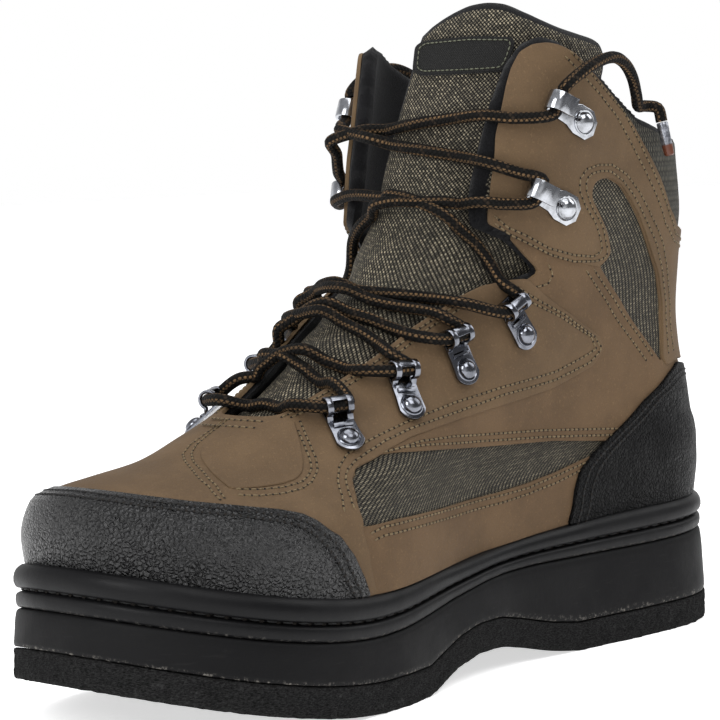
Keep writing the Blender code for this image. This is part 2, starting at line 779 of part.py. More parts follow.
def cord_mesh(name, points, diameter):
    """The same cord as a mesh, its caps joined to its sides."""
    source = guide(name + "_route", cord_curve(name + "_route", points, diameter))
    bpy.context.view_layer.update()
    seen = source.evaluated_get(bpy.context.evaluated_depsgraph_get())
    mesh = bpy.data.meshes.new_from_object(seen)
    bpy.data.objects.remove(source)
    shape = bmesh.new()
    shape.from_mesh(mesh)
    bmesh.ops.remove_doubles(shape, verts=shape.verts, dist=1e-6)
    bmesh.ops.recalc_face_normals(shape, faces=shape.faces)
    shape.to_mesh(mesh)
    shape.free()
    return mesh


def pulled(place, target):
    """A (height, turn) place moved along the leather to below a target."""
    step = 0.004
    height, turn = place
    here = form(height, turn)
    up = (form(height + step, turn) - here) / step
    around = (form(height, turn + step) - here) / step
    miss = target - here
    mixed, spread = up.dot(around), up.dot(up) * around.dot(around) - up.dot(around) ** 2
    rise = (up.dot(miss) * around.dot(around) - around.dot(miss) * mixed) / spread
    swing = (around.dot(miss) * up.dot(up) - up.dot(miss) * mixed) / spread
    return height + rise * PULL, turn + swing * PULL


PULL = 1.5
LACE_PLACES = 11


def taut(first, last, first_port, last_port):
    """The places of a lace drawn taut over the leather from one fastener to another."""
    shares = [(i + 1) / (LACE_PLACES + 1) for i in range(LACE_PLACES)]
    places = [(first.height + (last.height - first.height) * share,
               first.turn + (last.turn - first.turn) * share) for share in shares]
    for _ in range(24):
        for i in range(LACE_PLACES):
            before = form(*places[i - 1]) if i else first.port(first_port)
            after = form(*places[i + 1]) if i + 1 < LACE_PLACES else last.port(last_port)
            places[i] = pulled(places[i], (before + after) / 2)
    return places


def lace_route(first, last, first_port, last_port, places, raised=0.0):
    """A stretch of lace through its places; it is raised where it crosses over another."""
    lift = LACE_DIAMETER / 2 + LACE_GAP
    route = [first.port(first_port)]
    for height, turn in places:
        edge = float(THROAT.at("turn", height))
        over = float(np.clip((abs(turn) - 0.15 * edge) / (0.6 * edge), 0, 1))
        over = over * over * (3 - 2 * over)
        low = lift - wall(height) - SOFT_GAP
        high = GAP + PANEL_THICKNESS + lift + SOFT_GAP
        bump = raised * max(0.0, 1 - abs(turn) / edge)
        route.append(skin(height, turn, low + (high - low) * over + bump))
    route.append(last.port(last_port))
    return resampled(route, PATH_STEP * LACE_DIAMETER)


def lace_crossing(name, routes, finish):
    """One or two crossing stretches of lace as one solid."""
    made = add_object(name, cord_mesh(name, routes[0], LACE_DIAMETER), finish)
    for route in routes[1:]:
        boolean(made, guide(name + "_guide", cord_mesh(name + "_guide", route, LACE_DIAMETER)), "UNION")
    return made


def aglet_mesh(name, start, direction):
    """A slim tip with a bevelled end, in line with the lace."""
    shape = bmesh.new()
    radius = LACE_DIAMETER * 0.48
    bmesh.ops.create_cone(shape, cap_ends=True, segments=8, radius1=radius, radius2=radius * 0.85,
                          depth=AGLET_LENGTH)
    turn = direction.to_track_quat("Z", "Y").to_matrix().to_4x4()
    middle = start + direction * (AGLET_LENGTH / 2 + GAP)
    bmesh.ops.transform(shape, matrix=Matrix.Translation(middle) @ turn, verts=shape.verts)
    return shape


def lace_end(side, fastener, finish, tip_finish):
    """The free end from the top hook, over the topline, with its tip hanging outside."""
    name = "left" if side > 0 else "right"
    route = [fastener.port(1, END_REACH)]
    for along, out, up in LACE_END:
        route.append(Vector((HEEL_BACK + along * SOLE_LENGTH, side * out * BALL_WIDTH,
                             up * UPPER_HEIGHT)))
    points = resampled(route[:-1], PATH_STEP * LACE_DIAMETER) + route[-1:]
    curve = cord_curve(f"lace_end_{name}", points, LACE_DIAMETER)
    add_object(f"lace_end_{name}", curve, finish)
    direction = (points[-1] - points[-2]).normalized()
    add_mesh(f"aglet_{name}", aglet_mesh(name, points[-1], direction), tip_finish)


def build_sole(finishes):
    felt_top = lambda along: tread_height(along) + FELT_THICKNESS
    sole_slab("felt_outsole", tread_height, felt_top,
              ((0, -0.0012), (0.12, 0.0), (1, 0.0002)), finishes["felt"])
    sole_slab("midsole", lambda a: felt_top(a) + GAP, seam_height,
              ((0, -0.0006), (0.06, 0.0), (0.55, -0.0003), (0.92, -0.0009), (1, -0.0022)),
              finishes["midsole"])
    band = BAND_HEIGHT / HEEL_STACK / (1 - SOLE_SIDE.rows[0, 1])
    sole_slab("welt", lambda a: seam_height(a) + GAP, feather_height,
              ((0, -0.0026), (0.06, -0.0015), (band - 0.06, -0.0015), (band, -0.0034),
               (band + 0.06, -0.0015), (0.90, -0.0014), (1, -WELT_CHAMFER)),
              finishes["welt"])
    insole(finishes["lining"])


def build_upper(finishes):
    throat = throat_cutter()
    upper = add_object("upper", upper_shell("upper", lambda h: -wall(h), lambda h: 0.0),
                       finishes["mesh"])
    boolean(upper, throat, "DIFFERENCE")
    reach = BALL_WIDTH
    overlay("toe_cap", TOE_CAP_SIDE, -reach, reach, CAP_THICKNESS, finishes["cap"])
    overlay("heel_counter", HEEL_COUNTER_SIDE, -reach, reach, CAP_THICKNESS, finishes["cap"])
    overlay("ankle_cuff", ANKLE_CUFF_SIDE, -reach, reach, PANEL_THICKNESS, finishes["suede"])
    overlay("eyestay_left", EYESTAY_SIDE, 0, reach, PANEL_THICKNESS, finishes["suede"], throat)
    overlay("eyestay_right", EYESTAY_SIDE, -reach, 0, PANEL_THICKNESS, finishes["suede"], throat)
    tongue_solid("tongue", (0, TONGUE_COLUMNS), (0, TONGUE_ROWS), -TONGUE_THICKNESS, 0.0,
                 finishes["mesh"])
    tongue_solid("tongue_patch", (3, 7), (9, 11), GAP, GAP + PATCH_THICKNESS, finishes["patch"])


def build_lacing(finishes):
    face = panel_face()
    pairs = [{side: Fastener(row, side, face) for side in (1, -1)} for row in FASTENERS]
    meshes = {"eyelet": eyelet_mesh(LACE_REACH["eyelet"]), "hook": hook_mesh(LACE_REACH["hook"])}
    for pair in pairs:
        for side in (1, -1):
            place_fastener(pair[side], meshes, finishes[pair[side].kind])
    bar = taut(pairs[0][1], pairs[0][-1], -1, -1)
    lace_crossing("lace_bar", [lace_route(pairs[0][1], pairs[0][-1], -1, -1, bar)], finishes["lace"])
    for k, (lower, upper) in enumerate(zip(pairs, pairs[1:])):
        places = taut(lower[1], upper[-1], 1, -1)
        mirrored = [(height, -turn) for height, turn in places]
        routes = [lace_route(lower[1], upper[-1], 1, -1, places),
                  lace_route(lower[-1], upper[1], 1, -1, mirrored, LACE_CROSSING_RISE)]
        lace_crossing(f"lace_crossing_{k + 1}", routes, finishes["lace"])
    for side in (1, -1):
        lace_end(side, pairs[-1][side], finishes["lace"], finishes["aglet"])


def build_boot():
    for old in list(bpy.data.objects):
        bpy.data.objects.remove(old)
    finishes = {
        "felt": material("felt", (0.20, 0.20, 0.20), 0.95),
        "midsole": material("midsole_foam", (0.30, 0.30, 0.31), 0.60),
        "welt": material("welt_rubber", (0.24, 0.24, 0.25), 0.38),
        "cap": material("pebbled_leather", (0.20, 0.20, 0.21), 0.42),
        "suede": material("brown_nubuck", (0.49, 0.40, 0.31), 0.90),
        "mesh": material("woven_mesh", (0.30, 0.28, 0.24), 0.85),
        "lining": material("lining_cloth", (0.12, 0.12, 0.12), 0.92),
        "patch": material("plain_patch", (0.10, 0.10, 0.10), 0.60),
        "lace": material("braided_lace", (0.15, 0.13, 0.11), 0.80),
        "aglet": material("aglet_sleeve", (0.42, 0.43, 0.45), 0.35),
        "eyelet": material("dark_nickel", (0.45, 0.46, 0.48), 0.22, 1.0),
        "hook": material("bright_nickel", (0.75, 0.77, 0.79), 0.18, 1.0),
    }
    build_sole(finishes)
    build_upper(finishes)
    build_lacing(finishes)


build_boot()
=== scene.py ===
"""Looks of the wading boot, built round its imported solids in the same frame, in metres.

Every form of the upper comes from skin(height, turn, out), the same function as the solids use:
height runs from 0 at the feather line to 1 at the top of the flaps, turn from 0 at the front centre
line to +1 round the outer side and -1 round the inner side to the heel's back.
"""
import math

import bmesh
import bpy
import numpy as np
from mathutils import Matrix, Vector, noise


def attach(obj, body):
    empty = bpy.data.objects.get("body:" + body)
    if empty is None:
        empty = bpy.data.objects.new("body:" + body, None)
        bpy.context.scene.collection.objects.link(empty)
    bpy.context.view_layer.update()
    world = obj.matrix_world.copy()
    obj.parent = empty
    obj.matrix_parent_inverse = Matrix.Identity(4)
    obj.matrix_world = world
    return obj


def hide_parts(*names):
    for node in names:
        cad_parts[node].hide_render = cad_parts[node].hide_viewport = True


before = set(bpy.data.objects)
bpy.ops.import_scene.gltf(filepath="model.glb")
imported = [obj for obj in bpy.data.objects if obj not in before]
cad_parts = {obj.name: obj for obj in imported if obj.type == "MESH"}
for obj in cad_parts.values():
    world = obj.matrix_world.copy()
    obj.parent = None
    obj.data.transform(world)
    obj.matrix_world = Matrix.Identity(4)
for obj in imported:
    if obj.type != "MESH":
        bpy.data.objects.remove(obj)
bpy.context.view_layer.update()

# ---------------------------------------------------------------- the boot's forms
SOLE_LENGTH = 0.322
BALL_WIDTH = 0.118
HEEL_STACK = 0.0505
FELT_THICKNESS = 0.0108
TOE_SPRING = 0.018
ARCH_RISE = 0.0087
HEEL_BEVEL = 0.002
TOE_SWING = 0.004
HEEL_BACK = -0.066
UPPER_HEIGHT = 0.190
SHANK_FADE = 0.060
TOE_LEAN = 0.003
LACE = 0.0045

SOLE_PLAN = np.array((
    (0.00, 0.377, 0.377), (0.08, 0.386, 0.386), (0.18, 0.386, 0.381), (0.30, 0.369, 0.347),
    (0.42, 0.356, 0.331), (0.55, 0.403, 0.381), (0.68, 0.483, 0.475), (0.78, 0.508, 0.492),
    (0.88, 0.500, 0.483), (1.00, 0.483, 0.475)))
SOLE_SIDE = np.array((
    (0.00, 0.743, 1.000), (0.19, 0.713, 0.980), (0.37, 0.713, 0.931), (0.45, 0.697, 0.893),
    (0.53, 0.644, 0.858), (0.61, 0.574, 0.832), (0.68, 0.531, 0.808), (0.81, 0.507, 0.792),
    (1.00, 0.485, 0.776)))
ARCH = np.array((
    (0.323, 0.00), (0.366, 0.23), (0.432, 0.76), (0.469, 0.99), (0.503, 1.00), (0.543, 0.80),
    (0.581, 0.41), (0.621, 0.00)))
SECTIONS = np.array((
    (0.000, 0.016, 0.978, 0.236, 2.35, 0.143, 2.3, 0.343, 0.326, 0.331, 0.462, 0.466),
    (0.063, 0.011, 0.983, 0.242, 2.30, 0.149, 2.3, 0.352, 0.331, 0.339, 0.466, 0.475),
    (0.116, 0.008, 0.977, 0.255, 2.20, 0.149, 2.2, 0.356, 0.331, 0.339, 0.462, 0.470),
    (0.147, 0.008, 0.950, 0.267, 2.15, 0.149, 2.2, 0.356, 0.331, 0.339, 0.458, 0.458),
    (0.176, 0.009, 0.910, 0.280, 2.10, 0.149, 2.2, 0.352, 0.331, 0.339, 0.445, 0.432),
    (0.216, 0.012, 0.845, 0.298, 2.05, 0.149, 2.1, 0.347, 0.331, 0.339, 0.432, 0.415),
    (0.258, 0.016, 0.795, 0.304, 2.05, 0.149, 2.1, 0.347, 0.331, 0.339, 0.424, 0.411),
    (0.305, 0.019, 0.742, 0.311, 2.00, 0.149, 2.1, 0.343, 0.335, 0.347, 0.407, 0.407),
    (0.368, 0.028, 0.677, 0.311, 2.00, 0.149, 2.1, 0.343, 0.343, 0.356, 0.390, 0.390),
    (0.453, 0.034, 0.618, 0.311, 2.00, 0.149, 2.1, 0.347, 0.356, 0.364, 0.390, 0.390),
    (0.553, 0.033, 0.550, 0.261, 2.00, 0.149, 2.1, 0.364, 0.377, 0.381, 0.390, 0.390),
    (0.658, 0.025, 0.503, 0.193, 2.05, 0.155, 2.1, 0.381, 0.398, 0.398, 0.390, 0.390),
    (0.789, 0.031, 0.469, 0.143, 2.10, 0.161, 2.1, 0.386, 0.407, 0.419, 0.407, 0.407),
    (1.000, 0.025, 0.432, 0.124, 2.20, 0.168, 2.1, 0.390, 0.415, 0.424, 0.415, 0.415),
    (1.105, 0.025, 0.416, 0.118, 2.20, 0.168, 2.1, 0.381, 0.407, 0.415, 0.407, 0.407)))
STATIONS = np.array((0.155, 0.311, 0.466, 0.699, 0.901))
TOPLINE = np.array((
    (0.00, 1.000), (0.25, 0.995), (0.30, 0.984), (0.37, 0.950), (0.44, 0.915), (0.51, 0.868),
    (0.57, 0.837), (0.68, 0.815), (0.81, 0.790), (1.00, 0.780)))
THROAT = np.array((
    (0.312, 0.095), (0.332, 0.106), (0.368, 0.138), (0.432, 0.200), (0.489, 0.247),
    (0.532, 0.292), (0.540, 0.345), (0.551, 0.383), (0.563, 0.372), (0.589, 0.334),
    (0.616, 0.290), (0.647, 0.208), (0.690, 0.180), (0.737, 0.166), (0.789, 0.161),
    (0.879, 0.164), (0.947, 0.180), (0.984, 0.208), (1.010, 0.250), (1.040, 0.290)))
PADDING = np.array(((0.00, 0.0), (0.45, 0.0), (0.62, 0.7), (0.75, 1.0), (1.10, 1.0)))
TONGUE_EDGE = np.array((
    (0.27, 0.16), (0.31, 0.19), (0.43, 0.28), (0.50, 0.36), (0.56, 0.43), (0.70, 0.40), (1.12, 0.40)))
TONGUE_TOP = np.array(((0.0, 1.085), (0.3, 1.080), (0.6, 1.055), (0.85, 1.005), (1.0, 0.960)))
# the tongue has slipped towards the outer side, so its inner edge shows beside the far flap
TONGUE_INNER = np.array((
    (0.27, 0.16), (0.31, 0.19), (0.43, 0.28), (0.50, 0.34), (0.56, 0.33), (0.62, 0.21), (0.68, 0.115),
    (0.80, 0.085), (0.95, 0.045), (1.12, 0.010)))
# its top edge as the photograph shows it: share of a half turn, height
TONGUE_LINE = np.array((
    (-0.041, 1.018), (-0.014, 1.040), (0.009, 1.058), (0.042, 1.074), (0.075, 1.084), (0.110, 1.087),
    (0.145, 1.084), (0.213, 1.064), (0.272, 1.045), (0.340, 1.026), (0.413, 1.011), (0.470, 0.997),
    (0.498, 0.971)))
TONGUE_SINK = np.array(((0.26, 0.10), (0.40, 0.25), (0.55, 0.30), (0.75, 0.0), (1.12, 0.0)))
TONGUE_FOOT = 0.262


def unit(vectors):
    return vectors / np.linalg.norm(vectors, axis=-1, keepdims=True)


def eased(share):
    """A share from 0 to 1 that starts and stops softly."""
    return share * share * (3 - 2 * share)


def run_lengths(points, power=1.0, least=0.0):
    """Length along a line up to each point; a power or a least step changes its spacing."""
    steps = np.linalg.norm(np.diff(points, axis=0), axis=1)
    return np.concatenate([[0], np.cumsum(steps ** power + least)])


def along_line(at, lengths, points):
    """Points at some lengths along a line."""
    return np.stack([np.interp(at, lengths, points[:, k]) for k in range(3)], axis=-1)


def smooth(keys, values, key):
    """A monotone cubic through a short table, or through one table row for each key."""
    keys = np.asarray(keys, float)
    values = np.atleast_2d(np.asarray(values, float))
    key = np.clip(np.atleast_1d(np.asarray(key, float)), keys[0], keys[-1])
    step = np.diff(keys)
    slope = np.diff(values, axis=1) / step
    before, after = 2 * step[1:] + step[:-1], step[1:] + 2 * step[:-1]
    with np.errstate(divide="ignore", invalid="ignore"):
        inner = (before + after) / (before / slope[:, :-1] + after / slope[:, 1:])
    inner = np.where(slope[:, :-1] * slope[:, 1:] > 0, inner, 0)
    tangent = np.concatenate([slope[:, :1], inner, slope[:, -1:]], axis=1)
    i = np.clip(np.searchsorted(keys, key, side="right") - 1, 0, len(step) - 1)
    row = np.arange(len(key)) if len(values) > 1 else np.zeros(len(key), int)
    t = (key - keys[i]) / step[i]
    return ((1 + 2 * t) * (1 - t) ** 2 * values[row, i] + t * (1 - t) ** 2 * step[i] * tangent[row, i]
            + t * t * (3 - 2 * t) * values[row, i + 1] + t * t * (t - 1) * step[i] * tangent[row, i + 1])


def table(rows, key, column=1):
    """A column of a table at each key, the keys in its first column."""
    return smooth(rows[:, 0], rows[:, column], key)


def rounded(distance, power):
    """Width share at a distance from a rounded end, 1 where the end's rounding stops."""
    distance = np.clip(distance, 0, 1)
    return (1 - (1 - distance) ** power) ** (1 / power)


def toe_rise(along):
    return TOE_SPRING * np.clip((along - 0.70) / 0.30, 0, None) ** 1.6


def tread_height(along):
    return (ARCH_RISE * table(ARCH, along) + HEEL_BEVEL * np.clip(1 - along / 0.09, 0, None) ** 2
            + toe_rise(along))


def felt_top(along):
    return tread_height(along) + FELT_THICKNESS


def seam_height(along):
    return HEEL_STACK * table(SOLE_SIDE, along, 1) + toe_rise(along)


def feather_height(along):
    return HEEL_STACK * table(SOLE_SIDE, along, 2) + toe_rise(along)


def sole_edge(along, side, grow):
    """Place along and across of the sole's outline, grown outwards by a distance."""
    share = -grow / SOLE_LENGTH + along * (1 + 2 * grow / SOLE_LENGTH)
    plan = np.where(side > 0, table(SOLE_PLAN, share, 1), table(SOLE_PLAN, share, 2))
    width = plan * BALL_WIDTH + grow
    ends = rounded(along / 0.15, 2.3) * rounded((1 - along) / 0.225, 2.4)
    swing = TOE_SWING * np.clip((share - 0.70) / 0.30, 0, 1) ** 1.5
    return share, side * width * ends - swing


def form(height, turn):
    """Points on the upper's leather, one row for each height and turn."""
    h = np.atleast_1d(np.asarray(height, float))
    t = (np.atleast_1d(np.asarray(turn, float)) + 1) % 2 - 1
    h, t = np.broadcast_arrays(h, t)
    at = [smooth(SECTIONS[:, 0], SECTIONS[:, k], h) for k in range(1, 12)]
    back, front, nose, nose_power, heel, heel_power = at[:6]
    along = back + (front - back) * (1 + np.cos(np.pi * t)) / 2
    full = smooth(STATIONS, np.stack(at[6:], axis=1), along)
    half = (full * rounded((front - along) / nose, nose_power)
            * rounded((along - back) / heel, heel_power) * BALL_WIDTH)
    lean = TOE_LEAN * np.clip((along - 0.62) / 0.36, 0, 1) ** 1.5
    ball = HEEL_STACK * SOLE_SIDE[-1, 2]
    fade = 1 - np.clip(h * UPPER_HEIGHT / SHANK_FADE, 0, 1)
    seat = HEEL_STACK * table(SOLE_SIDE, along, 2)
    z = ball + h * UPPER_HEIGHT + (seat - ball) * fade + toe_rise(along)
    return np.stack([HEEL_BACK + along * SOLE_LENGTH, np.sign(t) * half - lean, z], axis=1)


def normal(height, turn, step=0.01):
    h = np.atleast_1d(height).astype(float)
    t = np.atleast_1d(turn).astype(float)
    h, t = np.broadcast_arrays(h, t)
    around = form(h, t + step) - form(h, t - step)
    up = form(np.minimum(h + step, 1.10), t) - form(np.maximum(h - step, 0.0), t)
    return unit(np.cross(around, up))


def skin(height, turn, out):
    return form(height, turn) + normal(height, turn) * np.reshape(out, (-1, 1))


def wall(height):
    """Thickness of the upper with its lining and padding."""
    return 0.003 + 0.003 * table(PADDING, height)


ARC_HEIGHTS = np.linspace(0, 1.1, 56)
ARC_TURNS = np.linspace(-1, 1, 601)


def arc_table():
    """Length round each level from the front centre line."""
    rows = []
    for h in ARC_HEIGHTS:
        length = run_lengths(form(np.full(len(ARC_TURNS), h), ARC_TURNS))
        rows.append(length - np.interp(0.0, ARC_TURNS, length))
    return np.array(rows)


ARCS = arc_table()


def arc(height, turn):
    """Length round the upper at places, read between the rows and columns of the table."""
    row = np.clip(np.asarray(height) / 1.1 * 55, 0, 54.999)
    column = np.clip((np.asarray(turn) + 1) * 300, 0, 599.999)
    i, j = row.astype(int), column.astype(int)
    a, b = row - i, column - j
    return ((1 - a) * ((1 - b) * ARCS[i, j] + b * ARCS[i, j + 1])
            + a * ((1 - b) * ARCS[i + 1, j] + b * ARCS[i + 1, j + 1]))


# ---------------------------------------------------------------- camera, as the photograph's
CAMERA_DISTANCE = 1.010379
LOOKED_AT = Vector((0.108968, 0, 0.114324))


def add_camera():
    azimuth, elevation, roll = math.radians(43.074), math.radians(4.731), math.radians(-1.8)
    back = Vector((math.cos(azimuth) * math.cos(elevation), math.sin(azimuth) * math.cos(elevation),
                   math.sin(elevation)))
    level = Vector((-math.sin(azimuth), math.cos(azimuth), 0))
    rise = back.cross(level)
    right = level * math.cos(roll) + rise * math.sin(roll)
    up = rise * math.cos(roll) - level * math.sin(roll)
    data = bpy.data.cameras.new("camera")
    data.lens = 138.355
    data.sensor_width = 36
    made = bpy.data.objects.new("camera", data)
    bpy.context.scene.collection.objects.link(made)
    matrix = Matrix((right, up, back)).transposed().to_4x4()
    matrix.translation = LOOKED_AT + back * CAMERA_DISTANCE
    made.matrix_world = matrix
    bpy.context.scene.camera = made


# ---------------------------------------------------------------- finishes
PEBBLES = 620.0
TAPE_EDGE = (0.0029, 0.0031)


def linear(value):
    return value / 12.92 if value <= 0.04045 else ((value + 0.055) / 1.055) ** 2.4


def paint(red, green, blue):
    """A colour as a screen shows it, ready for a socket."""
    return (linear(red), linear(green), linear(blue), 1.0)


class Nodes:
    """Short hand for building a node tree."""

    def __init__(self, tree):
        self.tree = tree

    def add(self, kind, settings=None, sockets=None):
        node = self.tree.nodes.new("ShaderNode" + kind)
        for key, value in (settings or {}).items():
            setattr(node, key, value)
        for key, value in (sockets or {}).items():
            self.put(node.inputs[key], value)
        return node

    def put(self, socket, value):
        if isinstance(value, bpy.types.NodeSocket):
            self.tree.links.new(value, socket)
        else:
            socket.default_value = value

    def shade(self, socket, value):
        """Sets a socket of the material's own shader."""
        self.put(self.shader.inputs[socket], value)

    def math(self, operation, a, b=0.0, c=0.0):
        node = self.add("Math", {"operation": operation})
        for socket, value in zip(node.inputs, (a, b, c)):
            self.put(socket, value)
        return node.outputs[0]

    def times(self, a, b):
        return self.math("MULTIPLY", a, b)

    def plus(self, a, b):
        return self.math("ADD", a, b)

    def parts(self, vector):
        """The x, y and z of a vector."""
        return self.add("SeparateXYZ", None, {"Vector": vector}).outputs

    def checks(self, a, b):
        """0 and 1 in turn over the cells of two coordinates."""
        return self.math("FLOORED_MODULO", self.plus(self.math("FLOOR", a), self.math("FLOOR", b)), 2.0)

    def crown(self, value):
        """A round rise over each whole step of a coordinate."""
        return self.math("SINE", self.times(self.math("FRACT", value), math.pi))

    def mix(self, share, a, b):
        node = self.add("Mix", {"data_type": "RGBA"})
        self.put(node.inputs[0], share)
        self.put(node.inputs[6], a)
        self.put(node.inputs[7], b)
        return node.outputs[2]

    def ramp(self, value, low, high, bottom=0.0, top=1.0):
        return self.add("MapRange", {"interpolation_type": "SMOOTHSTEP"}, {
            "Value": value, "From Min": low, "From Max": high, "To Min": bottom, "To Max": top,
        }).outputs[0]

    def noise(self, vector, scale, detail=3.0, roughness=0.6):
        return self.add("TexNoise", None, {"Vector": vector, "Scale": scale, "Detail": detail,
                                           "Roughness": roughness}).outputs["Fac"]

    def cells(self, vector, scale, feature, **sockets):
        return self.add("TexVoronoi", {"feature": feature},
                        {"Vector": vector, "Scale": scale, **sockets}).outputs["Distance"]

    def place(self):
        return self.add("TexCoord").outputs["Object"]

    def flat(self):
        return self.add("TexCoord").outputs["UV"]

    def bump(self, height, depth, strength=1.0, below=None):
        node = self.add("Bump", None, {"Height": height, "Distance": depth, "Strength": strength})
        if below is not None:
            self.put(node.inputs["Normal"], below)
        return node.outputs[0]


def finish(name, colour, roughness, metallic=0.0, **sockets):
    """A material and its node helper, the colour and roughness set on the shader."""
    made = bpy.data.materials.new(name)
    made.use_nodes = True
    made.diffuse_color = colour
    nodes = Nodes(made.node_tree)
    nodes.shader = made.node_tree.nodes["Principled BSDF"]
    nodes.shade("Base Color", colour)
    nodes.shade("Roughness", roughness)
    nodes.shade("Metallic", metallic)
    for key, value in sockets.items():
        nodes.shade(key.replace("_", " "), value)
    return made, nodes


def nubuck(name, light, dark):
    """Brushed synthetic suede: soft mottling, fine nap, darker low down and paler where rubbed."""
    made, n = finish(name, light, 0.82, Specular_IOR_Level=0.28)
    place = n.place()
    mottle = n.noise(place, 42.0, 4.0, 0.62)
    nap = n.noise(place, 900.0, 3.0, 0.7)
    fine = n.noise(place, 2600.0, 2.0, 0.7)
    colour = n.mix(n.ramp(mottle, 0.34, 0.68, 0.30, 1.0), dark, light)
    colour = n.mix(n.ramp(nap, 0.50, 0.78, 0.0, 0.42), colour, paint(0.50, 0.42, 0.325))
    colour = n.mix(n.ramp(fine, 0.28, 0.46, 0.34, 0.0), colour, paint(0.20, 0.155, 0.11))
    n.shade("Base Color", colour)
    n.shade("Roughness", n.ramp(nap, 0.3, 0.7, 0.70, 0.92))
    grain = n.plus(n.times(nap, 0.7), n.times(fine, 0.5))
    n.shade("Normal", n.bump(grain, 0.00022, 0.55, n.bump(mottle, 0.0006, 0.25)))
    return made


def weave_group():
    """A basket weave over UVs in metres: its relief, and a mask of the threads that show pale."""
    tree = bpy.data.node_groups.new("basket_weave", "ShaderNodeTree")
    for label, way, kind in (("Vector", "INPUT", "Vector"), ("Across", "INPUT", "Float"),
                             ("Up", "INPUT", "Float"), ("Relief", "OUTPUT", "Float"),
                             ("Flecks", "OUTPUT", "Float")):
        tree.interface.new_socket(label, in_out=way, socket_type="NodeSocket" + kind)
    n = Nodes(tree)
    given = tree.nodes.new("NodeGroupInput").outputs
    out = tree.nodes.new("NodeGroupOutput")
    wobble = n.noise(given["Vector"], 160.0, 2.0)
    flat = n.parts(given["Vector"])
    along = n.plus(n.times(flat[0], given["Across"]), n.times(wobble, 0.16))
    high = n.plus(n.times(flat[1], given["Up"]), n.times(wobble, 0.14))
    # the threads run across the diagonals of the UVs
    across = n.times(n.plus(along, high), 0.5)
    up = n.times(n.math("SUBTRACT", along, high), 0.5)
    over = n.checks(across, up)
    crown, rise = n.crown(across), n.crown(up)
    warp = n.times(n.math("POWER", crown, 0.9), n.math("POWER", rise, 0.28))
    weft = n.times(n.math("POWER", rise, 0.9), n.math("POWER", crown, 0.28))
    relief = n.plus(n.times(warp, over), n.times(n.times(weft, 0.82), n.math("SUBTRACT", 1.0, over)))
    cell = n.add("CombineXYZ", None, {"X": n.math("FLOOR", across), "Y": n.math("FLOOR", up)})
    chance = n.add("TexWhiteNoise", {"noise_dimensions": "3D"}, {"Vector": cell.outputs[0]}).outputs[0]
    n.put(out.inputs["Relief"], relief)
    n.put(out.inputs["Flecks"], n.times(n.ramp(chance, 0.10, 0.85), n.ramp(relief, 0.45, 0.95)))
    return tree


def woven(name, group, dark, mid, pale, across, up, depth, taped=False):
    """Woven cloth; a taped one is dark and smooth close to the boot's openings."""
    made, n = finish(name, mid, 0.78, Specular_IOR_Level=0.3)
    weave = n.add("Group", {"node_tree": group}, {"Vector": n.flat(), "Across": across, "Up": up})
    relief, flecks = weave.outputs["Relief"], weave.outputs["Flecks"]
    cloud = n.noise(n.place(), 55.0, 3.0)
    colour = n.mix(n.ramp(relief, 0.40, 0.82), dark, mid)
    colour = n.mix(n.times(flecks, n.ramp(cloud, 0.25, 0.7, 0.55, 1.0)), colour, pale)
    if taped:
        near = n.add("Attribute", {"attribute_name": "opening"}).outputs["Fac"]
        colour = n.mix(n.ramp(near, *TAPE_EDGE, 1.0, 0.0), colour, paint(0.05, 0.05, 0.055))
        relief = n.times(relief, n.ramp(near, *TAPE_EDGE))
    n.shade("Base Color", colour)
    thread = n.noise(n.place(), 3000.0, 2.0)
    n.shade("Normal", n.bump(relief, depth, 0.9, n.bump(thread, 0.0001, 0.4)))
    return made


def pebbled(name, gloss, rough):
    """Black coated leather with a pebble grain, its cracks painted darker as shade."""
    made, n = finish(name, paint(0.06, 0.06, 0.065), rough, Specular_IOR_Level=gloss)
    place = n.place()
    shift = n.add("TexNoise", None, {"Vector": place, "Scale": 260.0, "Detail": 2.0}).outputs["Color"]
    small = n.add("VectorMath", {"operation": "SCALE"}, {0: shift, "Scale": 0.0016}).outputs[0]
    warp = n.add("VectorMath", {"operation": "ADD"}, {0: place, 1: small}).outputs[0]
    pebbles = n.cells(warp, PEBBLES, "SMOOTH_F1", Smoothness=0.35)
    cracks = n.cells(warp, PEBBLES, "DISTANCE_TO_EDGE")
    broad = n.noise(place, 70.0, 4.0)
    fine = n.noise(place, 2400.0, 3.0)
    relief = n.math("SUBTRACT", n.ramp(cracks, 0.0, 0.22), n.times(pebbles, 0.25))
    # painted shade in the cracks: they stay darkest, the pebble crowns paler, the more so in rubbed
    # patches
    wear_and_crack_shade = n.times(n.ramp(relief, 0.45, 0.95), n.ramp(broad, 0.35, 0.7, 0.3, 1.0))
    n.shade("Base Color", n.mix(wear_and_crack_shade, paint(0.018, 0.018, 0.020), paint(0.066, 0.066, 0.073)))
    uneven = n.plus(broad, n.times(fine, 0.3))
    n.shade("Roughness", n.ramp(uneven, 0.4, 0.9, rough - 0.09, rough + 0.12))
    creases = n.noise(place, 330.0, 4.0, 0.6)
    n.shade("Normal", n.bump(relief, 0.0008, 0.95, n.bump(creases, 0.0021, 0.65)))
    return made


def stretched(n, place, **sockets):
    return n.add("Mapping", None, {"Vector": place, **sockets}).outputs[0]


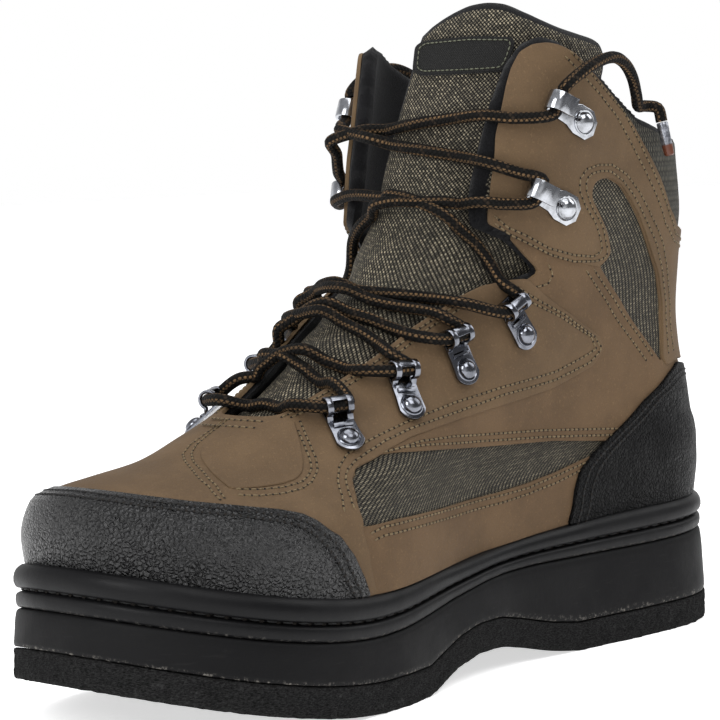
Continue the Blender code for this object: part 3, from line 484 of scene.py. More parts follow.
def rubber(name, colour, pale, rough, dusty):
    """Moulded rubber or foam with a fine skin, a broad unevenness and some dust."""
    made, n = finish(name, colour, rough, Specular_IOR_Level=0.15)
    place = n.place()
    broad = n.noise(place, 36.0, 4.0, 0.6)
    skin_grain = n.noise(place, 1500.0, 3.0, 0.65)
    streaks = n.noise(stretched(n, place, Scale=(120.0, 120.0, 900.0)), 1.0, 3.0)
    seen = n.mix(n.ramp(broad, 0.3, 0.75, 0.0, 0.6), colour, pale)
    seen = n.mix(n.times(n.ramp(streaks, 0.58, 0.85), dusty * 0.5), seen, paint(0.45, 0.44, 0.43))
    crumbs = n.noise(place, 620.0, 5.0, 0.75)
    low = n.times(n.ramp(n.parts(n.flat())[1], 0.0004, 0.0026, 1.0, 0.0), n.ramp(crumbs, 0.52, 0.64))
    n.shade("Base Color", n.mix(n.times(low, dusty * 5.0), seen, paint(0.60, 0.58, 0.55)))
    n.shade("Roughness", n.ramp(broad, 0.25, 0.8, rough - 0.07, rough + 0.12))
    n.shade("Normal", n.bump(skin_grain, 0.00012, 0.5, n.bump(broad, 0.0016, 0.3)))
    return made


def felted(name):
    """Dense grey felt, its fibres lying along one way."""
    made, n = finish(name, paint(0.13, 0.13, 0.13), 0.98, Specular_IOR_Level=0.1)
    place = n.place()
    long = stretched(n, place, Rotation=(0.4, 0.2, 0.9), Scale=(1.0, 1.0, 3.2))
    fibres = n.noise(long, 900.0, 6.0, 0.75)
    clumps = n.noise(place, 210.0, 5.0, 0.7)
    colour = n.mix(n.ramp(fibres, 0.38, 0.70), paint(0.045, 0.045, 0.045), paint(0.20, 0.20, 0.20))
    n.shade("Base Color", n.mix(n.ramp(clumps, 0.58, 0.80, 0.0, 0.5), colour, paint(0.30, 0.30, 0.30)))
    n.shade("Normal", n.bump(n.plus(fibres, n.times(clumps, 1.2)), 0.0009, 0.9))
    return made


def nylex(name, colour, pale):
    """Brushed knit lining."""
    made, n = finish(name, colour, 0.95, Specular_IOR_Level=0.15, Sheen_Weight=0.08, Sheen_Roughness=0.5)
    place = n.place()
    fuzz = n.noise(place, 1700.0, 4.0, 0.75)
    broad = n.noise(place, 90.0, 3.0)
    tone = n.ramp(n.plus(fuzz, n.times(broad, 0.3)), 0.5, 0.95)
    n.shade("Base Color", n.mix(tone, colour, pale))
    n.shade("Normal", n.bump(fuzz, 0.0004, 0.8))
    return made


def spun(name, colour, pale, rough=0.6):
    """Sewing thread with a fine twist."""
    made, n = finish(name, colour, rough, Specular_IOR_Level=0.35)
    place = n.place()
    strands = n.noise(place, 2600.0, 3.0)
    cloud = n.noise(place, 120.0, 2.0)
    tone = n.ramp(n.plus(strands, n.times(cloud, 0.4)), 0.45, 0.95)
    n.shade("Base Color", n.mix(tone, colour, pale))
    n.shade("Normal", n.bump(strands, 0.00012, 0.6))
    return made


def metal(name, colour, rough):
    """Plated metal with smears and fine scratches."""
    made, n = finish(name, colour, rough, 1.0)
    place = n.place()
    smear = n.noise(place, 240.0, 4.0, 0.6)
    fine = n.noise(place, 1900.0, 3.0, 0.7)
    dull = tuple(c * 0.42 for c in colour[:3]) + (1.0,)
    n.shade("Base Color", n.mix(n.ramp(smear, 0.35, 0.75, 0.0, 0.8), colour, dull))
    uneven = n.plus(smear, n.times(fine, 0.3))
    n.shade("Roughness", n.ramp(uneven, 0.4, 0.9, rough * 0.7, rough * 1.9))
    n.shade("Normal", n.bump(fine, 0.00004, 0.4))
    return made


def braided(name):
    """Round braid over UVs: u is the length in metres, v the share round."""
    made, n = finish(name, paint(0.16, 0.13, 0.10), 0.78, Specular_IOR_Level=0.14)
    flat = n.parts(n.flat())
    run, around = n.times(flat[0], 540.0), n.times(flat[1], 6.0)
    left, right = n.plus(run, around), n.math("SUBTRACT", run, around)
    over = n.checks(left, right)
    relief = n.times(n.math("POWER", n.crown(left), 0.7), n.math("POWER", n.crown(right), 0.7))
    strands = [n.math("FLOORED_MODULO", n.math("FLOOR", way), 6.0) for way in (left, right)]
    second = n.math("COMPARE", n.mix(over, *strands), 3.0, 0.45)
    turn = n.plus(n.times(flat[1], 4.0), n.times(flat[0], 14.0))
    band = n.math("ABSOLUTE", n.math("SUBTRACT", n.math("FRACT", turn), 0.5))
    wear = n.noise(n.place(), 400.0, 3.0)
    # painted shade: the grooves between the strands darkest, the strand crowns lighter
    colour = n.mix(n.ramp(relief, 0.05, 0.8), paint(0.008, 0.007, 0.006), paint(0.055, 0.050, 0.044))
    flecks = n.times(n.ramp(band, 0.14, 0.20, 1.0, 0.0), n.ramp(relief, 0.15, 0.75))
    flecks = n.times(flecks, n.ramp(wear, 0.25, 0.65, 0.65, 1.0))
    flecks = n.times(flecks, n.ramp(over, 0.2, 0.8, 0.55, 1.0))
    colour = n.mix(flecks, colour, paint(0.42, 0.33, 0.23))
    colour = n.mix(n.times(second, n.times(relief, 0.35)), colour, paint(0.26, 0.21, 0.16))
    n.shade("Base Color", colour)
    n.shade("Normal", n.bump(relief, 0.0004, 0.9))
    return made


def banded(name):
    """Aglet sleeve: grey metal, its tip reddish brown; u is the length along it in metres."""
    made, n = finish(name, paint(0.50, 0.51, 0.54), 0.30)
    tip = n.ramp(n.parts(n.flat())[0], 0.0082, 0.0090)
    scratch = n.noise(n.place(), 900.0, 4.0)
    plate = n.mix(n.ramp(scratch, 0.3, 0.7), paint(0.36, 0.37, 0.40), paint(0.66, 0.67, 0.70))
    n.shade("Base Color", n.mix(tip, plate, paint(0.36, 0.20, 0.14)))
    n.shade("Metallic", n.math("SUBTRACT", 0.85, n.times(tip, 0.75)))
    n.shade("Normal", n.bump(scratch, 0.0001, 0.4))
    return made


def build_finishes():
    weave = weave_group()
    return {
        "suede": nubuck("brown_nubuck", paint(0.378, 0.302, 0.215), paint(0.318, 0.250, 0.174)),
        "suede_low": nubuck("brown_nubuck_low", paint(0.372, 0.292, 0.205), paint(0.305, 0.234, 0.158)),
        "edge": nubuck("cut_edge", paint(0.43, 0.35, 0.25), paint(0.31, 0.245, 0.17)),
        "mesh": woven("woven_mesh", weave, paint(0.012, 0.012, 0.011), paint(0.325, 0.303, 0.255),
                      paint(0.50, 0.47, 0.40), 960.0, 1220.0, 0.0007, True),
        "tongue": woven("tongue_mesh", weave, paint(0.012, 0.012, 0.011), paint(0.320, 0.300, 0.255),
                        paint(0.64, 0.60, 0.51), 1150.0, 1300.0, 0.0007),
        "rib": woven("ribbed_mesh", weave, paint(0.07, 0.07, 0.065), paint(0.30, 0.29, 0.25),
                     paint(0.40, 0.385, 0.34), 1500.0, 520.0, 0.0006, True),
        "cap": pebbled("pebbled_leather", 0.50, 0.26),
        "counter": pebbled("counter_leather", 0.11, 0.48),
        "welt": rubber("welt_rubber", paint(0.048, 0.048, 0.053), paint(0.072, 0.072, 0.078), 0.46,
                       0.06),
        "midsole": rubber("midsole_foam", paint(0.028, 0.028, 0.032), paint(0.048, 0.048, 0.054), 0.60,
                          0.09),
        "felt": felted("felt"),
        "lining": nylex("lining_cloth", paint(0.025, 0.025, 0.03), paint(0.095, 0.095, 0.105)),
        "binding": nylex("binding_tape", paint(0.035, 0.035, 0.037), paint(0.12, 0.12, 0.125)),
        "patch": woven("plain_patch", weave, paint(0.03, 0.03, 0.03), paint(0.085, 0.085, 0.08),
                       paint(0.13, 0.13, 0.12), 1900.0, 1900.0, 0.0002),
        "tan": spun("tan_thread", paint(0.31, 0.255, 0.18), paint(0.50, 0.435, 0.32)),
        "black": spun("black_thread", paint(0.012, 0.012, 0.012), paint(0.055, 0.055, 0.06)),
        "grey": spun("grey_thread", paint(0.26, 0.27, 0.22), paint(0.42, 0.43, 0.36)),
        # needle holes are flat dark discs of painted shade
        "hole": spun("needle_hole_shade", paint(0.05, 0.035, 0.02), paint(0.09, 0.065, 0.04), 0.9),
        "eyelet": metal("dark_nickel", paint(0.50, 0.51, 0.54), 0.13),
        "hook": metal("bright_nickel", paint(0.72, 0.73, 0.75), 0.12),
        "lace": braided("braided_lace"),
        "aglet": banded("aglet_sleeve"),
    }


# ---------------------------------------------------------------- mesh helpers
OUTLINE_SOFTENING = 0.0022
SNAP_REACH = 0.0025


def add_piece(name, mesh, finishes, replaced=(), angle=35.0):
    for made in finishes:
        mesh.materials.append(made)
    mesh.shade_smooth()
    mesh.set_sharp_from_angle(angle=math.radians(angle))
    piece = bpy.data.objects.new(name, mesh)
    bpy.context.scene.collection.objects.link(piece)
    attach(piece, "root")
    if replaced:
        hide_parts(*replaced)
    return piece


def to_mesh(name, shape, outward=True):
    if outward:
        bmesh.ops.recalc_face_normals(shape, faces=shape.faces)
    mesh = bpy.data.meshes.new(name)
    shape.to_mesh(mesh)
    shape.free()
    return mesh


def lattice(columns, rows):
    """A bmesh grid over the unit square: x is the column share, y the row share."""
    shape = bmesh.new()
    bmesh.ops.create_grid(shape, x_segments=columns, y_segments=rows, size=0.5)
    bmesh.ops.translate(shape, verts=shape.verts, vec=(0.5, 0.5, 0))
    return shape


def read(shape):
    return np.array([v.co for v in shape.verts])


def write(shape, points):
    for vert, point in zip(shape.verts, points):
        vert.co = point


def set_uv(shape, u, v):
    layer = shape.loops.layers.uv.verify()
    shape.verts.index_update()
    for face in shape.faces:
        for loop in face.loops:
            k = loop.vert.index
            loop[layer].uv = (u[k], v[k])


def outline(points, step=0.0005, closed=True):
    """Even (height, turn) places along a smooth line through an outline's own points."""
    points = np.array(points, float)
    if closed:
        points = np.vstack([points, points[:1]])
    solid = form(points[:, 0], points[:, 1])
    keys = run_lengths(solid, least=1e-6)
    fine = np.linspace(0, keys[-1], max(8, int(keys[-1] / step)))
    rounds = [np.interp(fine, keys, points[:, k]) for k in (0, 1)]
    width = max(1, int(OUTLINE_SOFTENING / step))
    made = []
    for line in rounds:
        if closed:
            padded_line = np.concatenate([line[-width - 1:-1], line, line[1:width + 1]])
        else:
            padded_line = np.concatenate([2 * line[0] - line[width:0:-1], line,
                                          2 * line[-1] - line[-2:-width - 2:-1]])
        kernel = np.hanning(2 * width + 3)[1:-1]
        made.append(np.convolve(padded_line, kernel / kernel.sum(), "valid"))
    return np.stack(made, axis=1)


def sided(points, side):
    return [(h, t * side) for h, t in points]


def mirrored(points):
    return sided(points, -1)


def inside(heights, turns, loop):
    """Even-odd test of places against a closed outline."""
    found = np.zeros(len(heights), bool)
    for (h0, t0), (h1, t1) in zip(loop, np.roll(loop, -1, axis=0)):
        crossing = (h0 > heights) != (h1 > heights)
        with np.errstate(divide="ignore", invalid="ignore"):
            at = (t1 - t0) * (heights - h0) / (h1 - h0) + t0
        found ^= crossing & (turns < at)
    return found


def column_turns(low, high, height, spacing):
    """Turns at an even spacing round a level."""
    turns = np.linspace(low, high, 400)
    keys = run_lengths(form(np.full(400, height), turns))
    count = max(4, int(keys[-1] / spacing))
    return np.interp(np.linspace(0, keys[-1], count + 1), keys, turns)


def sheet_grid(low, high, bottom, top, spacing, level):
    """A lattice whose x is the turn and y the height, even in the real sizes at a level."""
    turns = column_turns(low, high, level, spacing)
    rows = max(4, int((top - bottom) * UPPER_HEIGHT / spacing))
    shape = lattice(len(turns) - 1, rows)
    places = read(shape)
    shares = np.linspace(0, 1, len(turns))
    places[:, 0] = np.interp(places[:, 0], shares, turns)
    places[:, 1] = bottom + (top - bottom) * places[:, 1]
    write(shape, places)
    return shape


def trim(shape, loops, holes=()):
    """Keeps the faces inside the loops and outside the holes, and snaps the rim onto the lines."""
    centres = np.array([face.calc_center_median() for face in shape.faces])
    keep = np.zeros(len(centres), bool)
    for loop in loops:
        keep |= inside(centres[:, 1], centres[:, 0], loop[::3])
    for loop in holes:
        keep &= ~inside(centres[:, 1], centres[:, 0], loop[::3])
    gone = [face for face, kept in zip(shape.faces, keep) if not kept]
    bmesh.ops.delete(shape, geom=gone, context="FACES")
    lines = np.vstack([*loops, *holes])
    solid = form(lines[:, 0], lines[:, 1])
    rim = [v for v in shape.verts if v.is_boundary]
    if not rim:
        return
    places = np.array([v.co for v in rim])
    at = form(places[:, 1], places[:, 0])
    for start in range(0, len(rim), 200):
        part = at[start:start + 200]
        gap = ((part[:, None, :] - solid[None]) ** 2).sum(2)
        nearest = gap.argmin(1)
        for vert, k, d in zip(rim[start:start + 200], nearest, gap.min(1)):
            if d < SNAP_REACH ** 2:
                vert.co = (lines[k, 1], lines[k, 0], 0)


def lay(shape, level):
    """Moves a lattice in (turn, height) onto the upper at a level off the leather."""
    places = read(shape)
    turns, heights = places[:, 0], places[:, 1]
    set_uv(shape, arc(heights, turns), heights * UPPER_HEIGHT)
    write(shape, skin(heights, turns, level))


def rim_down(shape, depth, bevel, side_index):
    """Gives a laid sheet a rounded top edge and a cut side."""
    bmesh.ops.dissolve_degenerate(shape, edges=shape.edges, dist=0.00008)
    if bevel:
        bmesh.ops.inset_region(shape, faces=shape.faces, use_boundary=True, use_even_offset=False,
                               use_interpolate=True, thickness=bevel, depth=0)
    shape.normal_update()
    rim = [v for v in shape.verts if v.is_boundary]
    ups = [v.normal.copy() for v in rim]
    for vert, up in zip(rim, ups):
        vert.co -= up * bevel * 0.8
    edges = [e for e in shape.edges if e.is_boundary]
    known = {v: up for v, up in zip(rim, ups)}
    old = set(shape.verts)
    pairs = {}
    made = bmesh.ops.extrude_edge_only(shape, edges=edges)
    for item in made["geom"]:
        if isinstance(item, bmesh.types.BMFace):
            item.material_index = side_index
    for item in made["geom"]:
        if isinstance(item, bmesh.types.BMVert) and item not in old:
            for edge in item.link_edges:
                other = edge.other_vert(item)
                if other in known:
                    pairs[item] = known[other]
    for vert, up in pairs.items():
        vert.co -= up * depth


def panel(name, loop, level, thickness, slot, finishes, holes=(), spacing=0.0013, replaced=(),
          bevel=0.0003):
    """A cut panel of the upper between outline and holes, with a bevelled rim."""
    line = outline(loop)
    cut = [outline(hole) for hole in holes]
    low, high = line[:, 1].min(), line[:, 1].max()
    bottom, upper = max(0.0, line[:, 0].min()), line[:, 0].max()
    middle = min(0.62, max(0.06, (bottom + upper) / 2))
    shape = sheet_grid(low, high, bottom, upper, spacing, middle)
    trim(shape, [line], cut)
    lay(shape, level)
    bmesh.ops.recalc_face_normals(shape, faces=shape.faces)
    middle = read(shape).mean(0)
    if sum(f.normal.dot(f.calc_center_median() - Vector((middle[0] - 0.02, 0, middle[2] - 0.05)))
           for f in shape.faces) < 0:
        bmesh.ops.reverse_faces(shape, faces=shape.faces)
    rim_down(shape, thickness, bevel, 1)
    return add_piece(name, to_mesh(name, shape, False), finishes, replaced)


def swept(points, radius, sides):
    """A round tube along points, its UV u the length in metres and v the share round."""
    points = np.array(points, float)
    lengths = run_lengths(points)
    tangents = unit(np.gradient(points, axis=0))
    side = np.cross(tangents[0], (0.3, 0.1, 1.0))
    sidelines = []
    for tangent in tangents:
        side = side - tangent * side.dot(tangent)
        side /= np.linalg.norm(side)
        sidelines.append(side.copy())
    sidelines = np.array(sidelines)
    others = np.cross(tangents, sidelines)
    shape = lattice(len(points) - 1, sides)
    places = read(shape)
    i = np.rint(places[:, 0] * (len(points) - 1)).astype(int)
    angle = places[:, 1] * math.tau
    reach = np.broadcast_to(np.asarray(radius, float), (len(points),))[i][:, None]
    set_uv(shape, lengths[i], places[:, 1])
    write(shape, points[i] + (sidelines[i] * np.cos(angle)[:, None]
                              + others[i] * np.sin(angle)[:, None]) * reach)
    bmesh.ops.remove_doubles(shape, verts=shape.verts, dist=1e-6)
    bmesh.ops.holes_fill(shape, edges=[e for e in shape.edges if e.is_boundary], sides=0)
    return shape


def resampled(points, step):
    """Even points on a smooth curve through a route's own points."""
    points = np.array(points, float)
    route = np.vstack([2 * points[0] - points[1], points, 2 * points[-1] - points[-2]])
    knots = run_lengths(route, power=0.5)
    fine = []
    for k in range(1, len(route) - 2):
        (a, b, c, d), (ka, kb, kc, kd) = route[k - 1:k + 3], knots[k - 1:k + 3]
        for t in np.linspace(kb, kc, 16, endpoint=False):
            ab = (a * (kb - t) + b * (t - ka)) / (kb - ka)
            bc = (b * (kc - t) + c * (t - kb)) / (kc - kb)
            cd = (c * (kd - t) + d * (t - kc)) / (kd - kc)
            low = (ab * (kc - t) + bc * (t - ka)) / (kc - ka)
            high = (bc * (kd - t) + cd * (t - kb)) / (kd - kb)
            fine.append((low * (kc - t) + high * (t - kb)) / (kc - kb))
    fine = np.array(fine + [points[-1]])
    lengths = run_lengths(fine)
    wanted = np.linspace(0, lengths[-1], max(3, round(lengths[-1] / step) + 1))
    return along_line(wanted, lengths, fine)


def copies(name, template, frames, finishes, angle=60.0):
    """Many copies of a small mesh in one piece; frames are 3x4 arrays of axes and place."""
    points = np.array([v.co for v in template.vertices])
    faces = [tuple(p.vertices) for p in template.polygons]
    kinds = [p.material_index for p in template.polygons]
    frames = np.array(frames)
    moved = np.einsum("nij,kj->nki", frames[:, :, :3], points) + frames[:, None, :, 3]
    count = len(points)
    every = [tuple(k + n * count for k in face) for n in range(len(frames)) for face in faces]
    mesh = bpy.data.meshes.new(name)
    mesh.from_pydata(moved.reshape(-1, 3).tolist(), [], every)
    mesh.polygons.foreach_set("material_index", kinds * len(frames))
    return add_piece(name, mesh, finishes, (), angle)


def stitch_template(length, width, height):
    """One stitch: a plump thread that dips at its end into a needle hole, a flat dark disc of painted
    shade.
    """
    shape = bmesh.new()
    bmesh.ops.create_uvsphere(shape, u_segments=6, v_segments=6, radius=1.0,
                              matrix=Matrix.Rotation(math.pi / 2, 4, "Y"))
    bmesh.ops.scale(shape, verts=shape.verts, vec=(length / 2, width / 2, height))
    first = len(shape.faces)
    # the needle hole: a flat dark disc of painted shade
    bmesh.ops.create_circle(shape, cap_ends=True, segments=8, radius=width * 0.70,
                            matrix=Matrix.Translation((length * 0.62, 0, 0.00005)))
    shape.faces.ensure_lookup_table()
    for face in shape.faces[first:]:
        face.material_index = 1
    mesh = bpy.data.meshes.new("stitch_template")
    shape.to_mesh(mesh)
    shape.free()
    return mesh


def row_frames(row, level, pitch):
    """Frames of the stitches along a (height, turn) line at a level off the leather."""
    line = outline(row, 0.0004, False)
    high = level if callable(level) else (lambda h, t: level)
    solid = skin(line[:, 0], line[:, 1], high(line[:, 0], line[:, 1]))
    lengths = run_lengths(solid)
    count = max(2, int(lengths[-1] / pitch))
    at = (np.arange(count) + 0.5) * lengths[-1] / count
    heights = np.interp(at, lengths, line[:, 0])
    turns = np.interp(at, lengths, line[:, 1])
    run = unit(along_line(at + 0.0003, lengths, solid) - along_line(at - 0.0003, lengths, solid))
    up = normal(heights, turns)
    place = skin(heights, turns, high(heights, turns))
    return list(np.stack([run, unit(np.cross(up, run)), up, place], axis=2))


def seam(row, level):
    """Frames of the stitches of a seam that lies on a panel at a level."""
    return row_frames(row, level + THREAD_LIFT, STITCH_PITCH)


# ---------------------------------------------------------------- outlines and seams of the outer side
STITCH_PITCH = 0.0026
THREAD_LIFT = 0.00002
# the seams of FLAP_ROWS that lie on the quarter, below the flap
FLAP_ROWS_BELOW = (4, 5, 6)


def shares(places):
    """(height, turn) places written in thousandths, at any depth of tuples."""
    return tuple(shares(p) if isinstance(p, tuple) else p / 1000 for p in places)


WINDOW = shares((
    (213, 266), (227, 259), (236, 261), (240, 270), (244, 286), (244, 309), (235, 375), (218, 468),
    (201, 566), (177, 651), (149, 637), (128, 594), (119, 559), (116, 522), (121, 444), (130, 375),
    (126, 333), (145, 322), (174, 302), (198, 280)))
ANKLE_WINDOW = shares((
    (726, 480), (710, 516), (668, 556), (592, 622), (525, 677), (464, 710), (409, 720), (341, 723),
    (352, 714), (404, 669), (481, 597), (554, 515), (579, 530), (608, 514), (648, 479), (687, 444),
    (702, 439), (718, 444), (725, 460)))
CAP_EDGE = shares((
    (144, 0), (144, 89), (145, 142), (148, 188), (149, 236), (145, 261), (135, 281), (112, 310),
    (76, 327), (35, 338), (0, 344)))
CAP_ROWS = shares((
    ((136, 0), (134, 97), (136, 147), (139, 193), (138, 241), (134, 263), (125, 282), (104, 302),
     (73, 316), (32, 327), (0, 333)),
    ((127, 0), (125, 103), (127, 152), (130, 198), (129, 243), (125, 264), (116, 279), (95, 295),
     (65, 308), (29, 318), (0, 326))))
COUNTER_EDGE = shares((
    (322, 1000), (325, 850), (337, 774), (317, 737), (262, 690), (196, 655), (153, 636), (120, 625),
    (80, 620), (38, 618), (0, 613)))
COUNTER_ROWS = shares((
    ((308, 1000), (312, 860), (318, 790), (309, 756), (263, 703), (194, 666), (153, 648),
     (117, 636), (77, 630), (35, 628), (0, 624)),
    ((296, 1000), (300, 870), (305, 795), (296, 768), (261, 717), (192, 678), (153, 660),
     (114, 648), (74, 641), (32, 639), (0, 635))))
STAY_EDGE = shares((
    (0, 352), (80, 345), (132, 333), (182, 297), (203, 277), (215, 269), (226, 267), (235, 279),
    (251, 295), (265, 316), (279, 361), (298, 425), (317, 499), (321, 514), (354, 571), (385, 587),
    (415, 569), (469, 485), (505, 425), (540, 372)))
THROAT_EDGE = shares((
    (540, 345), (532, 295), (510, 262), (489, 247), (459, 217), (432, 198), (406, 174), (372, 141),
    (345, 115), (325, 100), (314, 85), (311, 60), (310, 0)))
STAY_ROWS = shares((
    ((150, 303), (175, 287), (204, 260), (226, 245), (246, 241), (258, 248), (272, 265), (292, 299),
     (319, 357), (338, 422), (350, 484), (354, 504), (378, 551), (389, 568), (415, 551), (461, 474),
     (500, 391), (517, 357)),
    ((155, 311), (178, 293), (206, 267), (220, 259), (234, 258), (247, 266), (263, 280), (279, 309),
     (300, 368), (323, 429), (334, 491), (338, 511), (363, 563), (386, 579), (413, 560), (465, 479),
     (502, 405), (524, 363))))
FLAP_LOW = shares((
    (649, 237), (636, 269), (618, 316), (592, 373), (570, 434), (562, 475), (552, 512)))
FLAP_TOP = shares((
    (649, 237), (669, 228), (725, 210), (817, 192), (913, 192), (945, 196), (975, 208), (989, 232),
    (992, 263), (987, 292), (972, 332), (930, 400), (885, 467), (830, 536), (775, 589), (722, 633),
    (657, 675), (622, 720), (605, 800), (598, 900), (595, 1000)))
WINDOW_ROWS = shares((
    ((248, 302), (256, 338), (254, 393), (241, 474), (230, 537), (200, 668)),
    ((246, 287), (250, 313), (247, 357), (234, 441), (215, 543), (187, 664)),
    ((113, 345), (122, 360), (121, 390), (113, 464), (109, 528), (109, 560), (121, 596),
     (141, 642)),
    ((100, 350), (106, 362), (105, 395), (97, 465), (93, 529), (96, 561), (105, 596), (126, 638))))
FLAP_ROWS = shares((
    ((665, 240), (642, 275), (624, 322), (598, 379), (581, 439), (575, 485), (583, 501), (600, 493),
     (640, 461), (674, 425), (703, 402), (727, 396), (745, 409), (753, 442), (752, 483), (731, 527),
     (696, 566), (646, 610), (584, 672), (528, 708), (462, 744), (412, 752), (363, 762)),
    ((650, 248), (628, 287), (608, 336), (584, 392), (568, 446), (565, 497), (571, 518), (587, 514),
     (634, 480), (673, 440), (703, 419), (724, 414), (737, 427), (741, 450), (740, 478), (722, 514),
     (692, 549), (642, 593), (586, 649), (530, 688), (464, 724), (414, 733), (360, 740)),
    ((975, 318), (945, 365), (900, 436), (855, 502), (797, 556), (742, 601), (700, 632), (645, 672),
     (606, 715), (588, 800), (581, 900), (578, 1000)),
    ((966, 306), (935, 350), (895, 416), (848, 480), (790, 536), (737, 581), (690, 616), (630, 658),
     (592, 712), (574, 800), (567, 900), (564, 1000)),
    ((568, 396), (546, 417), (527, 418), (521, 389)),
    ((549, 484), (482, 563), (402, 639), (352, 682)),
    ((550, 501), (483, 581), (406, 657), (360, 695))))
SHIELD = shares((
    (303, -5), (281, 2), (257, 16), (239, 37), (226, 59), (205, 104), (191, 136), (177, 165),
    (184, 189), (193, 207), (202, 214), (213, 211), (232, 198), (258, 175), (282, 151), (303, 128),
    (306, 60)))
SHIELD_ROWS = shares((
    ((298, -21), (272, -15), (251, -8), (234, 7), (221, 35), (204, 79), (178, 137), (156, 169)),
    ((301, -11), (278, -6), (254, 4), (238, 20), (222, 49), (202, 99), (180, 145), (160, 171)),
    ((168, 179), (170, 201), (177, 221), (187, 234), (199, 235), (220, 224), (241, 207), (266, 180),
     (291, 152), (303, 137)),
    ((178, 168), (181, 191), (188, 213), (198, 224), (209, 222), (224, 214), (243, 197), (266, 172),
     (287, 148))))
LABEL = shares((
    (1014, -8), (1018, 90), (1012, 186), (1002, 198), (958, 188), (946, 176), (946, 90), (947, -6),
    (957, -22), (1004, -24)))
LABEL_ROW = shares((
    (1008, 0), (1011, 90), (1006, 178), (999, 187), (962, 178), (953, 168), (953, 90), (954, 2),
    (962, -10), (1000, -12), (1008, 0)))


# ---------------------------------------------------------------- upper
LEVELS = {"quarter": 0.0009, "vamp": 0.0015, "flap": 0.0016, "shield": 0.0021, "cap": 0.0023}
THROAT_FOOT = 0.312
# how far from an opening the lining's cloth still shows outside: at any rim, and along the throat
RIM_LINED = 0.0018
THROAT_LINED = 0.0075


def shell_edge():
    """The outer half of the shell: up the throat's edge, over the topline and round its foot."""
    rows = THROAT[THROAT[:, 0] < 1.0]
    side = [(h + 0.010 * min(max((h - 0.90) / 0.09, 0), 1), t) for h, t in rows]
    over = [(h + 0.012 * min(max((0.62 - t) / 0.1, 0), 1), t) for t, h in TOPLINE if t > 0.235]
    return [(THROAT_FOOT, 0.0)] + side + over + [(-0.02, 1.0), (-0.02, 0.0)]


def build_shell(f):
    """The soft body of the upper: woven outside, brushed lining inside, rolled at its openings."""
    for side, name in ((1, "upper_left"), (-1, "upper_right")):
        line = outline(sided(shell_edge(), side))
        line[:, 1] = np.clip(line[:, 1] * side, 0, 1) * side
        shape = sheet_grid(min(0, side), max(0, side), 0.0, 1.0, 0.0016, 0.5)
        trim(shape, [line])
        # both halves meet on the centre lines
        for vert in shape.verts:
            if abs(vert.co.x) < 1e-4:
                vert.co.x = 0
            if abs(abs(vert.co.x) - 1) < 1e-4:
                vert.co.x = side
        places = read(shape)
        heights, turns = places[:, 1].copy(), places[:, 0].copy()
        rim = np.array([v.is_boundary for v in shape.verts])
        on_line = rim & (heights > 0.01) & (np.abs(turns) > 1e-3) & (np.abs(turns) < 0.9999)
        on_line |= rim & (np.abs(turns) < 1e-3) & (np.abs(heights - THROAT_FOOT) < 0.004)
        # how near each place is to the opening, for the rolled edge and the tape
        edge = places[on_line]
        solid = form(heights, turns)
        opening = form(edge[:, 1], edge[:, 0])
        near = np.full(len(solid), 1.0)
        for start in range(0, len(solid), 2000):
            part = solid[start:start + 2000]
            near[start:start + 2000] = np.sqrt(((part[:, None] - opening[None]) ** 2).sum(2).min(1))
        thick = wall(heights)
        roll = thick / 2
        share = np.clip(near / roll, 0, 1)
        drop = roll * (1 - np.sqrt(1 - (1 - share) ** 2))
        set_uv(shape, arc(heights, turns), heights * UPPER_HEIGHT)
        flesh = np.where(heights < 0.02, 0.0, 1.0)
        write(shape, skin(heights, turns, -drop * flesh))
        kept = shape.verts.layers.float.new("opening")
        for vert, distance in zip(shape.verts, near):
            vert[kept] = distance
        band = (near < THROAT_LINED) & (heights > 0.56) & (np.abs(turns) < 0.26)
        slope = outline(FLAP_TOP[10:] + ((1.05, 1.0), (1.05, 0.25)), 0.001)
        rear = inside(heights, np.abs(turns), slope)
        for face in shape.faces:
            k = [v.index for v in face.verts]
            if all(band[k]) or near[k].mean() < RIM_LINED:
                face.material_index = 1
            elif all(rear[k]):
                face.material_index = 2
        lining = shape.copy()
        write(lining, skin(heights, turns, -thick + drop * flesh))
        for face in lining.faces:
            face.material_index = 1
        inner_mesh = to_mesh(name + "_inner", lining, False)
        shape.from_mesh(inner_mesh)
        bmesh.ops.remove_doubles(shape, verts=shape.verts, dist=2e-5)
        add_piece(name, to_mesh(name, shape), (f["mesh"], f["lining"], f["rib"]),
                  ("upper",) if side > 0 else (), 60)


def both(name, loop, *args, **kwargs):
    """The same panel on the outer and on the inner side."""
    holes = kwargs.pop("holes", ())
    replaced = kwargs.pop("replaced", ((), ()))
    panel(name + "_left", loop, *args, holes=holes, replaced=replaced[0], **kwargs)
    panel(name + "_right", mirrored(loop), *args, holes=[mirrored(hole) for hole in holes],
          replaced=replaced[1], **kwargs)


